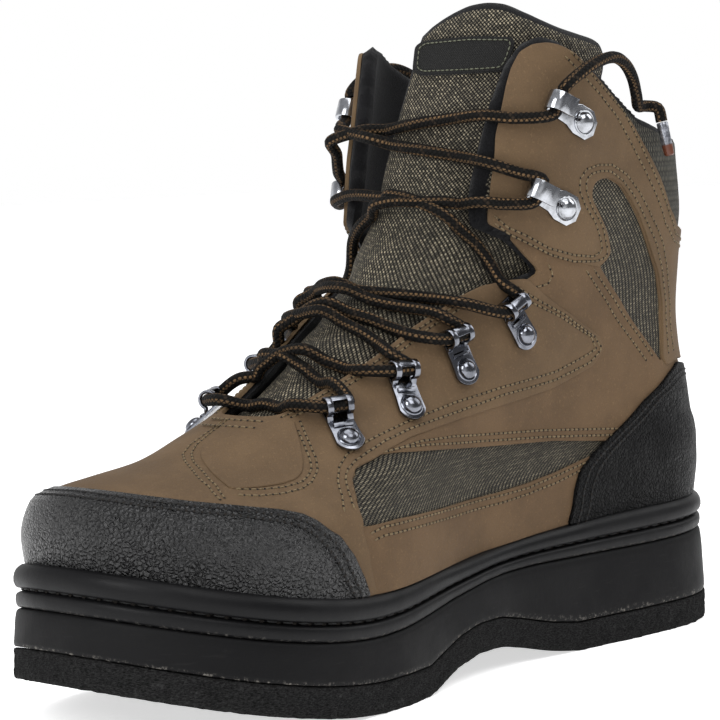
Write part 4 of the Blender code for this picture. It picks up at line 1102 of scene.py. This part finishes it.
def build_panels(f):
    quarter = ([(0.0, 0.30)] + [(0.0, t) for t in np.linspace(0.32, 0.70, 20)]
               + [(0.20, 0.72), (0.335, 0.80), (0.37, 0.78), (0.42, 0.76), (0.50, 0.74), (0.60, 0.69),
                  (0.66, 0.63), (0.70, 0.58), (0.76, 0.50), (0.76, 0.42), (0.70, 0.39), (0.64, 0.30),
                  (0.62, 0.295), (0.59, 0.337), (0.563, 0.376), (0.551, 0.388), (0.535, 0.372),
                  (0.44, 0.36), (0.31, 0.30), (0.25, 0.24), (0.20, 0.24), (0.10, 0.30)])
    both("quarter", quarter, LEVELS["quarter"], 0.0009, "suede", (f["suede_low"], f["edge"]),
         holes=[WINDOW, ANKLE_WINDOW])
    vamp = (list(mirrored(THROAT_EDGE))[:-1] + [(0.310, 0.0)] + list(THROAT_EDGE[::-1])[1:]
            + list(STAY_EDGE[::-1]) + [(0.0, 0.0)] + mirrored(STAY_EDGE))
    panel("vamp", vamp, LEVELS["vamp"], 0.0012, "suede", (f["suede"], f["edge"]),
          replaced=("eyestay_left", "eyestay_right"), spacing=0.0014)
    flap = (list(FLAP_LOW[::-1]) + list(FLAP_TOP)[1:]
            + [(0.33, 1.0), (0.335, 0.86), (0.345, 0.79), (0.335, 0.735), (0.352, 0.722), (0.409, 0.722),
               (0.464, 0.713), (0.525, 0.680), (0.592, 0.625), (0.668, 0.559), (0.712, 0.518),
               (0.728, 0.480), (0.727, 0.460), (0.720, 0.442), (0.703, 0.436), (0.686, 0.441),
               (0.646, 0.476), (0.606, 0.511), (0.579, 0.529), (0.565, 0.524)])
    both("flap", flap, LEVELS["flap"], 0.0012, "suede", (f["suede"], f["edge"]),
         replaced=(("ankle_cuff",), ()))
    panel("shield", SHIELD, LEVELS["shield"], 0.0008, "suede", (f["suede"], f["edge"]), spacing=0.001)
    cap = list(CAP_EDGE) + [(0.0, 0.0)] + mirrored(CAP_EDGE[::-1])
    panel("toe_cap_leather", cap, LEVELS["cap"], 0.0016, "cap", (f["cap"], f["cap"]),
          replaced=("toe_cap",), spacing=0.0012, bevel=0.0004)
    both("heel_counter_leather", list(COUNTER_EDGE) + [(0.0, 1.0)], LEVELS["cap"], 0.0016, "cap",
         (f["counter"], f["counter"]), replaced=(("heel_counter",), ()), bevel=0.0004)


def build_stitches(f):
    frames = []
    for side in (1, -1):
        for rows, level in ((STAY_ROWS, "vamp"), (WINDOW_ROWS, "quarter"), (FLAP_ROWS, "flap")):
            for k, row in enumerate(rows):
                low = rows is FLAP_ROWS and k in FLAP_ROWS_BELOW
                frames += seam(sided(row, side), LEVELS["quarter" if low else level])
    for row in SHIELD_ROWS:
        frames += seam(row, LEVELS["vamp"])
    for side in (1, -1):
        for shift in (0.013, 0.030):
            row = [(h - 0.004, (t + shift) * side) for h, t in THROAT_EDGE[2:11]]
            frames += seam(row, LEVELS["vamp"])
    for drop in (0.0, 0.012):
        row = [(0.299 - drop, t) for t in np.linspace(-0.075, 0.075, 9)]
        frames += row_frames(row, LEVELS["vamp"] + 0.00065, STITCH_PITCH)
    copies("tan_stitches", stitch_template(0.00210, 0.00074, 0.00044), frames,
           (f["tan"], f["hole"]))
    frames = []
    for row in CAP_ROWS:
        frames += seam(mirrored(row[::-1]) + list(row[1:]), LEVELS["cap"])
    for side in (1, -1):
        for row in COUNTER_ROWS:
            frames += seam(sided(row, side), LEVELS["cap"])
    copies("black_stitches", stitch_template(0.0022, 0.0008, 0.00034), frames,
           (f["black"], f["hole"]))


# ---------------------------------------------------------------- tongue
TONGUE_HALF = 0.003


def tongue_out(height, turn):
    """Level of the tongue's face off the leather."""
    edge = table(TONGUE_EDGE, height)
    across = np.clip(np.abs(turn) / edge, 0, 1)
    return -wall(height) - 0.0007 - table(TONGUE_SINK, height) * 0.006 * (1 - across ** 2)


def build_tongue(f):
    """A padded tongue: front, edge roll and back in one closed skin."""
    columns, rows = 150, 150
    shape = lattice(columns, rows)
    places = read(shape)
    angle, rise = places[:, 0] * math.tau, places[:, 1]
    across = np.cos(angle)
    depth = np.sign(np.sin(angle)) * (1 - np.abs(across) ** 7) ** 0.5
    height = TONGUE_FOOT + (table(TONGUE_TOP, np.abs(across)) - TONGUE_FOOT) * rise
    # its width depends on the height, and its height on how far round each place lies
    for _ in range(4):
        outer, inner = table(TONGUE_EDGE, height), table(TONGUE_INNER, height)
        outer = outer + (TONGUE_LINE[-1, 0] - outer) * eased(np.clip((height - 0.84) / 0.10, 0, 1))
        turn = (outer - inner) / 2 + across * (outer + inner) / 2
        height = TONGUE_FOOT + (table(TONGUE_LINE, turn) - TONGUE_FOOT) * rise
    end = np.clip((1 - rise) / 0.035, 0, 1)
    end = np.sqrt(1 - (1 - end) ** 2)
    start = np.clip(rise / 0.03, 0.15, 1)
    pillow = (0.0006 * np.sin(rise * 60) * (1 - np.abs(across) ** 3)
              * np.clip((rise - 0.08) / 0.1, 0, 1))
    half = TONGUE_HALF * np.minimum(end, start)
    middle = tongue_out(height, turn) - TONGUE_HALF
    out = middle + half * depth + np.where(depth > 0, pillow * end, 0)
    set_uv(shape, arc(height, turn), height * UPPER_HEIGHT)
    write(shape, skin(height, turn, out))
    for face in shape.faces:
        k = [v.index for v in face.verts]
        if depth[k].mean() < 0.15 or np.abs(across[k]).mean() > 0.955 or rise[k].mean() > 0.978:
            face.material_index = 1
    bmesh.ops.remove_doubles(shape, verts=shape.verts, dist=1e-5)
    piece = add_piece("tongue_pad", to_mesh("tongue_pad", shape), (f["tongue"], f["lining"]),
                      ("tongue",), 60)
    line = outline(LABEL)
    shape = sheet_grid(line[:, 1].min(), line[:, 1].max(), line[:, 0].min(), line[:, 0].max(), 0.0009, 1.0)
    trim(shape, [line])
    turns, heights = read(shape)[:, :2].T
    lay(shape, tongue_out(heights, turns) + 0.0013)
    rim_down(shape, 0.0011, 0.0003, 1)
    add_piece("plain_label", to_mesh("plain_label", shape), (f["patch"], f["binding"]),
              ("tongue_patch",))
    frames = row_frames(LABEL_ROW, lambda h, t: tongue_out(h, t) + 0.0014, 0.0020)
    copies("label_stitches", stitch_template(0.0017, 0.00055, 0.0003), frames,
           (f["grey"], f["hole"]))


# ---------------------------------------------------------------- sole
def layer(name, levels, lower, upper, columns, slot, finishes, replaced, jitter=None, index=None):
    """A layer of the sole; levels hold (height share, outline growth, share of the width)."""
    shape = lattice(columns, len(levels) - 1)
    places = read(shape)
    t = places[:, 0] * 2 - 1
    k = np.rint(places[:, 1] * (len(levels) - 1)).astype(int)
    levels = np.array(levels, float)
    share, grow, width = levels[k, 0], levels[k, 1], levels[k, 2]
    along = (1 + np.cos(np.pi * t)) / 2
    side = np.where(t >= 0, 1.0, -1.0)
    if jitter is not None:
        grow = grow + jitter(along, t, share, width)
    place, across = sole_edge(along, side, grow)
    middle = (sole_edge(along, np.ones(len(t)), grow)[1] + sole_edge(along, -np.ones(len(t)), grow)[1]) / 2
    across = middle + (across - middle) * width
    low, high = lower(along), upper(along)
    solid = np.stack([HEEL_BACK + place * SOLE_LENGTH, across, low + (high - low) * share], axis=1)
    set_uv(shape, t * 0.36, share * 0.02)
    write(shape, solid)
    if index is not None:
        for face in shape.faces:
            face.material_index = index(share[[v.index for v in face.verts]].mean())
    bmesh.ops.remove_doubles(shape, verts=shape.verts, dist=1e-6)
    bmesh.ops.dissolve_degenerate(shape, edges=shape.edges, dist=1e-6)
    return add_piece(name, to_mesh(name, shape), finishes, replaced, 50)


def closed_levels(profile):
    """A side profile with its underside and top closed towards the middle line."""
    first, last = profile[0], profile[-1]
    inward = (0.0, 0.25, 0.5, 0.75, 0.9, 0.97)
    low = [(first[0], first[1], w) for w in inward]
    high = [(last[0], last[1], w) for w in reversed(inward)]
    return low + [(s, g, 1.0) for s, g in profile] + high


def ripple(seed, strength, scale):
    def made(along, t, share, width):
        out = np.zeros(len(t))
        for i in range(len(t)):
            at = Vector((t[i] * 40 * scale, share[i] * 3 + seed, along[i] * 10))
            out[i] = noise.noise(at) + 0.5 * noise.noise(at * 2.7)
        return out * strength * (width > 0.95)
    return made


def build_sole(f):
    felt = ((0.0, -0.0016), (0.0, -0.0008), (0.06, -0.0002), (0.15, 0.0), (0.3, 0.0001), (0.45, 0.0),
            (0.6, 0.0001), (0.75, 0.0), (0.9, 0.0001), (0.97, -0.0001), (1.0, -0.0008))
    layer("felt_pad", closed_levels(felt), tread_height, felt_top, 900, "felt", (f["felt"],),
          ("felt_outsole",), ripple(3.0, 0.0007, 2.4))
    side = ((0.0, -0.0012), (0.012, -0.0003), (0.05, 0.0), (0.15, 0.0), (0.3, -0.0002), (0.5, -0.0004),
            (0.7, -0.0006), (0.85, -0.0009), (0.93, -0.0012), (0.97, -0.0018), (1.0, -0.0030))
    layer("midsole_foam", closed_levels(side), lambda a: felt_top(a) + 0.0003,
          lambda a: seam_height(a) - 0.0002, 700, "midsole", (f["midsole"],), ("midsole",))
    welt = ((0.0, -0.0040), (0.015, -0.0026), (0.04, -0.0017), (0.10, -0.0012), (0.20, -0.0010),
            (0.30, -0.0011), (0.355, -0.0015), (0.385, -0.0024), (0.40, -0.0036), (0.43, -0.0038),
            (0.455, -0.0028), (0.48, -0.0016), (0.53, -0.0010), (0.62, -0.0006), (0.72, -0.0006),
            (0.82, -0.0009), (0.90, -0.0015), (0.96, -0.0024), (1.0, -0.0034), (1.0, -0.0046))
    layer("welt_band", closed_levels(welt), lambda a: seam_height(a) - 0.0005, feather_height, 700, "welt",
          (f["welt"],), ("welt",))
    # lockstitches in the welt's groove
    stitch = stitch_template(0.0042, 0.0012, 0.0006)
    turns = np.linspace(-1, 1, 4001)[:-1]
    along = (1 + np.cos(np.pi * turns)) / 2
    place, across = sole_edge(along, np.where(turns >= 0, 1.0, -1.0), -0.0032)
    z = seam_height(along) + (feather_height(along) - seam_height(along)) * 0.418
    points = np.stack([HEEL_BACK + place * SOLE_LENGTH, across, z], axis=1)
    lengths = run_lengths(points)
    count = int(lengths[-1] / 0.0062)
    at = (np.arange(count) + 0.5) * lengths[-1] / count
    here = along_line(at, lengths, points)
    run = unit(along_line(at + 0.0005, lengths, points) - here)
    out = unit(np.cross((0, 0, 1), run))
    inward = (out * (here - (0.09, 0, 0)))[:, :2].sum(1) < 0
    out = np.where(inward[:, None], -out, out)
    frames = np.stack([run, np.cross(out, run), out, here], axis=2)
    copies("welt_stitches", stitch, frames, (f["black"], f["hole"]))
    # footbed
    shape = lattice(120, 10)
    places = read(shape)
    t = places[:, 0] * 2 - 1
    k = np.rint(places[:, 1] * 10).astype(int)
    width = np.array((0, .3, .55, .75, .88, .95, .985, 1, 1, 1, 1))[k]
    lift = np.array((0, 0, 0, 0, 0, 0, -.0001, -.0004, -.0012, -.0022, -.0032))[k]
    edge = skin(np.zeros(len(t)), t, -0.0044)
    edge[:, 1] *= width
    edge[:, 2] = feather_height((edge[:, 0] - HEEL_BACK) / SOLE_LENGTH) + 0.0042 + lift
    set_uv(shape, edge[:, 0], edge[:, 1])
    write(shape, edge)
    bmesh.ops.remove_doubles(shape, verts=shape.verts, dist=1e-6)
    add_piece("footbed", to_mesh("footbed", shape), (f["lining"],), ("insole",), 50)


# ---------------------------------------------------------------- metal fasteners
FASTENERS = (
    # node, place of the plate under the rivet in millimetres, along the plate, outward
    ("eyelet_1_left", (156.2, 37.7, 92.2), (-0.268, -0.717, 0.643), (0.328, 0.56, 0.761)),
    ("eyelet_1_right", (156.2, -38.2, 92.2), (-0.266, 0.721, 0.64), (0.312, -0.563, 0.765)),
    ("eyelet_2_left", (126.1, 39.6, 100.8), (-0.148, -0.524, 0.839), (0.256, 0.799, 0.545)),
    ("eyelet_2_right", (126.1, -39.5, 100.7), (-0.148, 0.524, 0.839), (0.256, -0.799, 0.545)),
    ("eyelet_3_left", (97.3, 40.6, 111.0), (0.19, -0.308, 0.932), (0.211, 0.94, 0.267)),
    ("eyelet_3_right", (97.3, -40.5, 111.0), (0.19, 0.308, 0.932), (0.211, -0.94, 0.267)),
    ("eyelet_4_left", (67.3, 43.4, 121.5), (0.482, -0.154, 0.862), (0.163, 0.983, 0.085)),
    ("eyelet_4_right", (67.3, -43.3, 121.5), (0.482, 0.154, 0.862), (0.163, -0.983, 0.085)),
    ("hook_1_left", (47.9, 48.4, 167.0), (0.879, -0.192, 0.437), (0.257, 0.962, -0.095)),
    ("hook_1_right", (47.9, -48.5, 167.0), (0.879, 0.192, 0.437), (0.257, -0.962, -0.095)),
    ("hook_2_left", (39.9, 51.1, 198.2), (0.883, -0.16, 0.442), (0.177, 0.984, 0.004)),
    ("hook_2_right", (39.9, -51.1, 198.2), (0.883, 0.16, 0.442), (0.177, -0.984, 0.004)))
REACH = {"eyelet": 0.0125, "hook": 0.0165}
LACE_ROOM = 0.00345


def prism(shape, points, thickness, bevel=0.0002):
    """A flat plate with rounded edges from its outline, on z = 0."""
    face = shape.faces.new([shape.verts.new((x, y, 0)) for x, y in points])
    grown = bmesh.ops.extrude_face_region(shape, geom=[face])
    moved = [v for v in grown["geom"] if isinstance(v, bmesh.types.BMVert)]
    bmesh.ops.translate(shape, verts=moved, vec=(0, 0, thickness))
    top = [e for e in shape.edges if e.verts[0] in moved and e.verts[1] in moved]
    bmesh.ops.bevel(shape, geom=top, offset=bevel, offset_type="OFFSET", segments=2, profile=0.5,
                    affect="EDGES", material=-1)


def bend(x, z, radius, first, last, count):
    """Points of an arc about (x, z) between two angles in degrees."""
    return [(x + radius * math.cos(a), z + radius * math.sin(a))
            for a in np.radians(np.linspace(first, last, count))]


def turned_profile(shape, profile, steps=24):
    """A solid of revolution about z from (radius, height) points."""
    verts = [shape.verts.new((r, 0, z)) for r, z in profile]
    edges = [shape.edges.new(pair) for pair in zip(verts, verts[1:])]
    bmesh.ops.spin(shape, geom=verts + edges, cent=(0, 0, 0), axis=(0, 0, 1), angle=math.tau,
                   steps=steps, use_merge=True)
    bmesh.ops.remove_doubles(shape, verts=shape.verts, dist=1e-6)


def strip(shape, path, low, high, thickness):
    """A metal strip bent along (x, z) points, from y = low to y = high, its edges eased."""
    part = lattice(len(path) - 1, 1)
    places = read(part)
    k = np.rint(places[:, 0] * (len(path) - 1)).astype(int)
    path = np.array(path)
    write(part, np.stack([path[k, 0], low + (high - low) * places[:, 1], path[k, 1]], axis=1))
    bmesh.ops.recalc_face_normals(part, faces=part.faces)
    bmesh.ops.solidify(part, geom=list(part.faces), thickness=thickness)
    bmesh.ops.recalc_face_normals(part, faces=part.faces)
    sharp = [e for e in part.edges if e.calc_face_angle(0) > math.radians(60)]
    bmesh.ops.bevel(part, geom=sharp, offset=0.00016, offset_type="OFFSET", segments=2, profile=0.5,
                    affect="EDGES", material=-1)
    mesh = bpy.data.meshes.new("strip_part")
    part.to_mesh(mesh)
    part.free()
    shape.from_mesh(mesh)
    bpy.data.meshes.remove(mesh)


def eyelet_shape():
    """A plate with its domed rivet, and a folded loop that holds the lace."""
    shape = bmesh.new()
    reach, half, tip = REACH["eyelet"], 0.0049, 0.004116
    plate = [(-0.0055 * math.cos(a), 0.0055 * math.sin(a)) for a in np.linspace(-1.25, 1.25, 15)]
    plate += [(0.004, half), (reach + 0.0026, half), (reach + 0.0034, tip), (reach + 0.0034, -tip),
              (reach + 0.0026, -half), (0.004, -half)]
    prism(shape, plate, 0.0010)
    turned_profile(shape, (
        (0, 0.0004), (0.0042, 0.0004), (0.0043, 0.0013), (0.0040, 0.0016), (0.0037, 0.0014),
        (0.0035, 0.0013), (0.0034, 0.0019), (0.0030, 0.0026), (0.0021, 0.0032), (0.0011, 0.0035),
        (0, 0.0036)))
    rise = LACE_ROOM + 0.0005
    loop = [(reach - LACE_ROOM - 0.0012, 0.0009), *bend(reach, rise, LACE_ROOM + 0.0002, 205, -25, 13),
            (reach + LACE_ROOM + 0.0002, 0.0006)]
    for low, high in ((-0.0049, -0.0027), (0.0027, 0.0049)):
        strip(shape, loop, low, high, 0.0009)
    strip(shape, bend(reach, rise, LACE_ROOM * 1.03, 100, 30, 6), -0.0046, 0.0046, 0.0009)
    strip(shape, [(0.0050, 0.0013), (0.0056, 0.0020), (0.0064, 0.0020), (0.0070, 0.0013)],
          -0.0036, 0.0036, 0.0006)
    return shape


def hook_shape():
    """A plate with its domed rivet, and a curled open hook."""
    shape = bmesh.new()
    reach, half, low = REACH["hook"], 0.0058, 0.0006
    prism(shape, [(-0.0062, -0.0026), (-0.0062, 0.0026), (-0.0030, half), (0.0034, half),
                  (0.0072, 0.0042), (reach, 0.0038), (reach, -0.0038), (0.0072, -0.0042),
                  (0.0034, -half), (-0.0030, -half)], 0.0011, 0.0003)
    turned_profile(shape, (
        (0, 0.0004), (0.0046, 0.0004), (0.0047, 0.0014), (0.0044, 0.0018), (0.0040, 0.0017),
        (0.0037, 0.0020), (0.0032, 0.0028), (0.0024, 0.0034), (0.0012, 0.0038), (0, 0.0039)))
    path = [(reach - 0.003, low), *bend(reach, low + LACE_ROOM, LACE_ROOM, -90, 90, 11)]
    for back, lift in ((0.0020, 0.0001), (0.0040, 0.0005), (0.0052, 0.0013)):
        path.append((reach - back, low + 2 * LACE_ROOM + lift))
    strip(shape, path, -0.0036, 0.0036, 0.0010)
    return shape


def build_fasteners(f):
    meshes = {}
    for kind, shape in (("eyelet", eyelet_shape()), ("hook", hook_shape())):
        meshes[kind] = to_mesh(kind, shape)
    for node, foot, along, outward in FASTENERS:
        kind = node.split("_")[0]
        x = Vector(along).normalized()
        z = Vector(outward)
        z = (z - x * z.dot(x)).normalized()
        y = z.cross(x)
        matrix = Matrix((x, y, z)).transposed().to_4x4()
        matrix.translation = Vector(foot) / 1000
        mesh = meshes[kind].copy()
        mesh.transform(matrix)
        add_piece(node + "_metal", mesh, (f[kind],), (node,), 40)


def fastener_frame(node):
    """Where the lace lies in a fastener, and the axes along its plate, up and outward there."""
    foot, along, outward = next(row[1:] for row in FASTENERS if row[0] == node)
    x = unit(np.array(along))
    z = np.array(outward)
    z = unit(z - x * z.dot(x))
    y = np.cross(z, x)
    at = np.array(foot) / 1000 + x * REACH[node.split("_")[0]] + z * (0.0005 + LACE_ROOM)
    return at, y if y[2] > 0 else -y, z


# ---------------------------------------------------------------- lacing
LACE_END = (
    (51.9, 54.0, 212.0), (40.6, 56.1, 218.7), (26.1, 55.6, 221.9), (17.1, 54.0, 219.5),
    (10.0, 52.0, 214.3), (5.2, 50.0, 207.7), (1.0, 47.6, 203.7), (-3.9, 47.0, 203.7),
    (-7.7, 50.2, 202.7), (-8.7, 51.2, 197.6))


def build_cords(f):
    """The two free lace ends with their aglets."""
    for side, name in ((1, "left"), (-1, "right")):
        at, up, _ = fastener_frame(f"hook_2_{name}")
        route = [at + up * 0.00505] + [np.array((x, y * side, z)) / 1000 for x, y, z in LACE_END]
        path = resampled(route, 0.0011)
        shape = swept(path, LACE / 2, 14)
        end = add_piece(f"free_lace_{name}", to_mesh(f"free_lace_{name}", shape), (f["lace"],),
                        (f"lace_end_{name}",), 60)
        run = unit(path[-1] - path[-2])
        places = np.array([0.0, 0.0004, 0.003, 0.0034, 0.0080, 0.0084, 0.0125, 0.0130])
        radii = np.array([0.0019, 0.0022, 0.0022, 0.0021, 0.0021, 0.0022, 0.0019, 0.0014])
        tube = swept(path[-1] + np.outer(places + 0.0003, run), radii, 16)
        tip = add_piece(f"lace_tip_{name}", to_mesh(f"lace_tip_{name}", tube), (f["aglet"],),
                        (f"aglet_{name}",), 40)


LACE_STEP = 0.0012
MOST_RISE = 0.0052
# steps of the lacing's line over which a lifted place eases down
REST = 8
BAR = ((0.339, -0.058), (0.345, -0.005), (0.339, 0.055), (0.322, 0.106))
RIGHT_LACE = (
    # fastener it passes next, places on the way to it
    ("eyelet_1_left", BAR[2:]),
    ("eyelet_2_right", ((0.352, 0.148), (0.379, 0.097), (0.404, 0.018), (0.408, -0.08), (0.388, -0.16))),
    ("eyelet_3_left", ((0.43, -0.19), (0.470, -0.13), (0.497, -0.06), (0.504, 0.022), (0.491, 0.105),
                       (0.468, 0.178), (0.436, 0.235))),
    ("eyelet_4_right", ((0.470, 0.260), (0.485, 0.235), (0.506, 0.176), (0.523, 0.077), (0.532, -0.05),
                        (0.520, -0.18), (0.500, -0.27))),
    ("hook_1_left", ((0.56, -0.28), (0.622, -0.20), (0.662, -0.105), (0.686, -0.031), (0.695, 0.023),
                     (0.693, 0.085), (0.692, 0.139), (0.689, 0.205), (0.686, 0.245))),
    ("hook_2_right", ((0.745, 0.250), (0.759, 0.200), (0.783, 0.129), (0.799, 0.045), (0.813, -0.05),
                      (0.828, -0.15), (0.840, -0.22))))
LEFT_LACE = (
    ("eyelet_1_right", ((0.339, -0.058), (0.322, -0.106))),
    ("eyelet_2_left", ((0.352, -0.148), (0.385, -0.105), (0.412, -0.045), (0.421, 0.028), (0.413, 0.086),
                       (0.397, 0.138), (0.377, 0.174))),
    ("eyelet_3_right", ((0.405, 0.205), (0.438, 0.172), (0.469, 0.105), (0.488, 0.012), (0.480, -0.10),
                        (0.452, -0.21))),
    ("eyelet_4_left", ((0.475, -0.25), (0.515, -0.18), (0.536, -0.104), (0.542, 0.015), (0.534, 0.125),
                       (0.519, 0.214), (0.497, 0.275))),
    ("hook_1_right", ((0.540, 0.322), (0.572, 0.295), (0.611, 0.244), (0.647, 0.180), (0.679, 0.120),
                      (0.702, 0.045), (0.712, -0.06), (0.708, -0.16), (0.695, -0.23))),
    ("hook_2_left", ((0.755, -0.24), (0.800, -0.18), (0.834, -0.10), (0.850, 0.005), (0.857, 0.083),
                     (0.854, 0.163), (0.846, 0.220))))


def lace_floor(height, turn):
    """Lowest level of a lace's middle line: on the tongue, and up over the throat's edge."""
    edge = table(THROAT, height)
    share = eased(np.clip((np.abs(turn) - 0.75 * edge) / (0.40 * edge), 0, 1))
    low = tongue_out(height, turn)
    return low + (0.0024 - low) * share + LACE / 2 + 0.0004


def lace_points(halves):
    """Points of one half with their outward directions and whether they may rise."""
    made = []
    for node, places in halves:
        at, up, out = fastener_frame(node)
        height, turn = np.array(places).T
        for point, away in zip(skin(height, turn, lace_floor(height, turn)), normal(height, turn)):
            made.append((point, away, 1.0))
        for run in (-0.0042, 0.0, 0.0042):
            made.append((at + up * run, out, 0.0))
    return made


def build_lace(f):
    """The whole lacing as one run from the right top hook down to the bar and up to the left one."""
    height, turn = np.array(BAR[1:2]).T
    bar = (skin(height, turn, lace_floor(height, turn))[0], normal(height, turn)[0], 1.0)
    points, ups, free = map(np.array, zip(*lace_points(RIGHT_LACE)[::-1], bar, *lace_points(LEFT_LACE)))
    # each end reaches on into the free lace beyond its hook
    for end, before in ((0, 1), (-1, -2)):
        points[end] += unit(points[end] - points[before]) * 0.00085
    line = resampled(points, LACE_STEP)
    keys, lengths = run_lengths(points), run_lengths(line)
    order = np.arange(len(keys))
    at = np.interp(lengths / lengths[-1], keys / keys[-1], order)
    around = unit(along_line(at, order, ups))
    loose = np.clip(np.interp(at, order, free) * 1.3 - 0.3, 0, 1)
    order = np.arange(len(line))
    rise = np.zeros(len(line))
    need = LACE * 1.04
    kernel = np.hanning(2 * REST + 1)
    kernel /= kernel.max()
    # where two runs touch, the outer one rises over the other
    for _ in range(14):
        now = line + around * rise[:, None]
        gap = np.linalg.norm(now[:, None] - now[None], axis=2)
        close = (gap < need) & (np.abs(order[:, None] - order[None]) > REST + 1)
        if not close.any():
            break
        lift = np.zeros(len(line))
        for i, j in zip(*np.nonzero(close)):
            if i < j or loose[i] < 0.9 or loose[j] < 0.9:
                continue
            top = i if (line[i] - line[j]).dot(around[i]) > 0 else j
            lift[top] = max(lift[top], (need - gap[i, j]) * 0.8 + 0.0001)
        spread = np.zeros(len(line))
        for i in np.nonzero(lift)[0]:
            low, high = max(0, i - REST), min(len(line), i + REST + 1)
            part = kernel[low - i + REST:high - i + REST] * lift[i]
            spread[low:high] = np.maximum(spread[low:high], part)
        rise = np.minimum(rise + spread * loose, MOST_RISE)
    soft = np.hanning(9) / np.hanning(9).sum()
    rise = np.convolve(np.pad(rise, 4, mode="edge"), soft, "valid")
    shape = swept(line + around * rise[:, None], LACE / 2, 14)
    add_piece("lace_run", to_mesh("lace_run", shape), (f["lace"],),
              ("lace_bar", *(f"lace_crossing_{k}" for k in range(1, 6))), 60)


# ---------------------------------------------------------------- floor and lights
def build_stage():
    shape = bmesh.new()
    bmesh.ops.create_grid(shape, x_segments=1, y_segments=1, size=6.0)
    floor = bpy.data.objects.new("floor", to_mesh("floor", shape))
    made, n = finish("floor_paper", paint(0.95, 0.95, 0.95), 0.85, Emission_Strength=0.62)
    n.shader.inputs["Emission Color"].default_value = (1, 1, 1, 1)
    floor.data.materials.append(made)
    bpy.context.scene.collection.objects.link(floor)
    world = bpy.data.worlds.new("studio")
    world.use_nodes = True
    sky = Nodes(world.node_tree)
    toward = sky.parts(sky.add("TexCoord").outputs["Generated"])
    background = world.node_tree.nodes["Background"]
    rear = sky.plus(sky.times(toward[0], -0.55), sky.times(toward[1], 0.83))
    glow = sky.mix(sky.ramp(toward[2], 0.18, 0.55), (1, 1, 1, 1), (0.42, 0.42, 0.43, 1))
    glow = sky.mix(sky.ramp(rear, 0.30, 0.80, 0.0, 0.80), glow, (0.04, 0.04, 0.045, 1))
    seen = sky.add("LightPath").outputs["Is Camera Ray"]
    sky.put(background.inputs[0], sky.mix(seen, glow, (1, 1, 1, 1)))
    background.inputs[1].default_value = 1.0
    bpy.context.scene.world = world
    bpy.context.scene.view_settings.view_transform = "Standard"
    for name, energy, size, place in (
            ("key", 6.0, 0.7, (0.30, 0.80, 1.20)), ("front", 7.0, 0.6, (1.15, 0.10, 0.75)),
            ("rim", 5.0, 0.8, (-0.9, 0.5, 0.9)), ("top", 7.0, 1.0, (0.1, 0.0, 1.5))):
        light = bpy.data.lights.new(name, "AREA")
        light.energy = energy
        light.size = size
        lamp = bpy.data.objects.new(name, light)
        lamp.location = place
        aim = Vector((0.09, 0.0, 0.10)) - Vector(place)
        lamp.rotation_euler = aim.to_track_quat("-Z", "Y").to_euler()
        bpy.context.scene.collection.objects.link(lamp)


def build_scene():
    add_camera()
    f = build_finishes()
    build_cords(f)
    build_sole(f)
    build_shell(f)
    build_panels(f)
    build_stitches(f)
    build_tongue(f)
    build_fasteners(f)
    build_lace(f)
    build_stage()


build_scene()
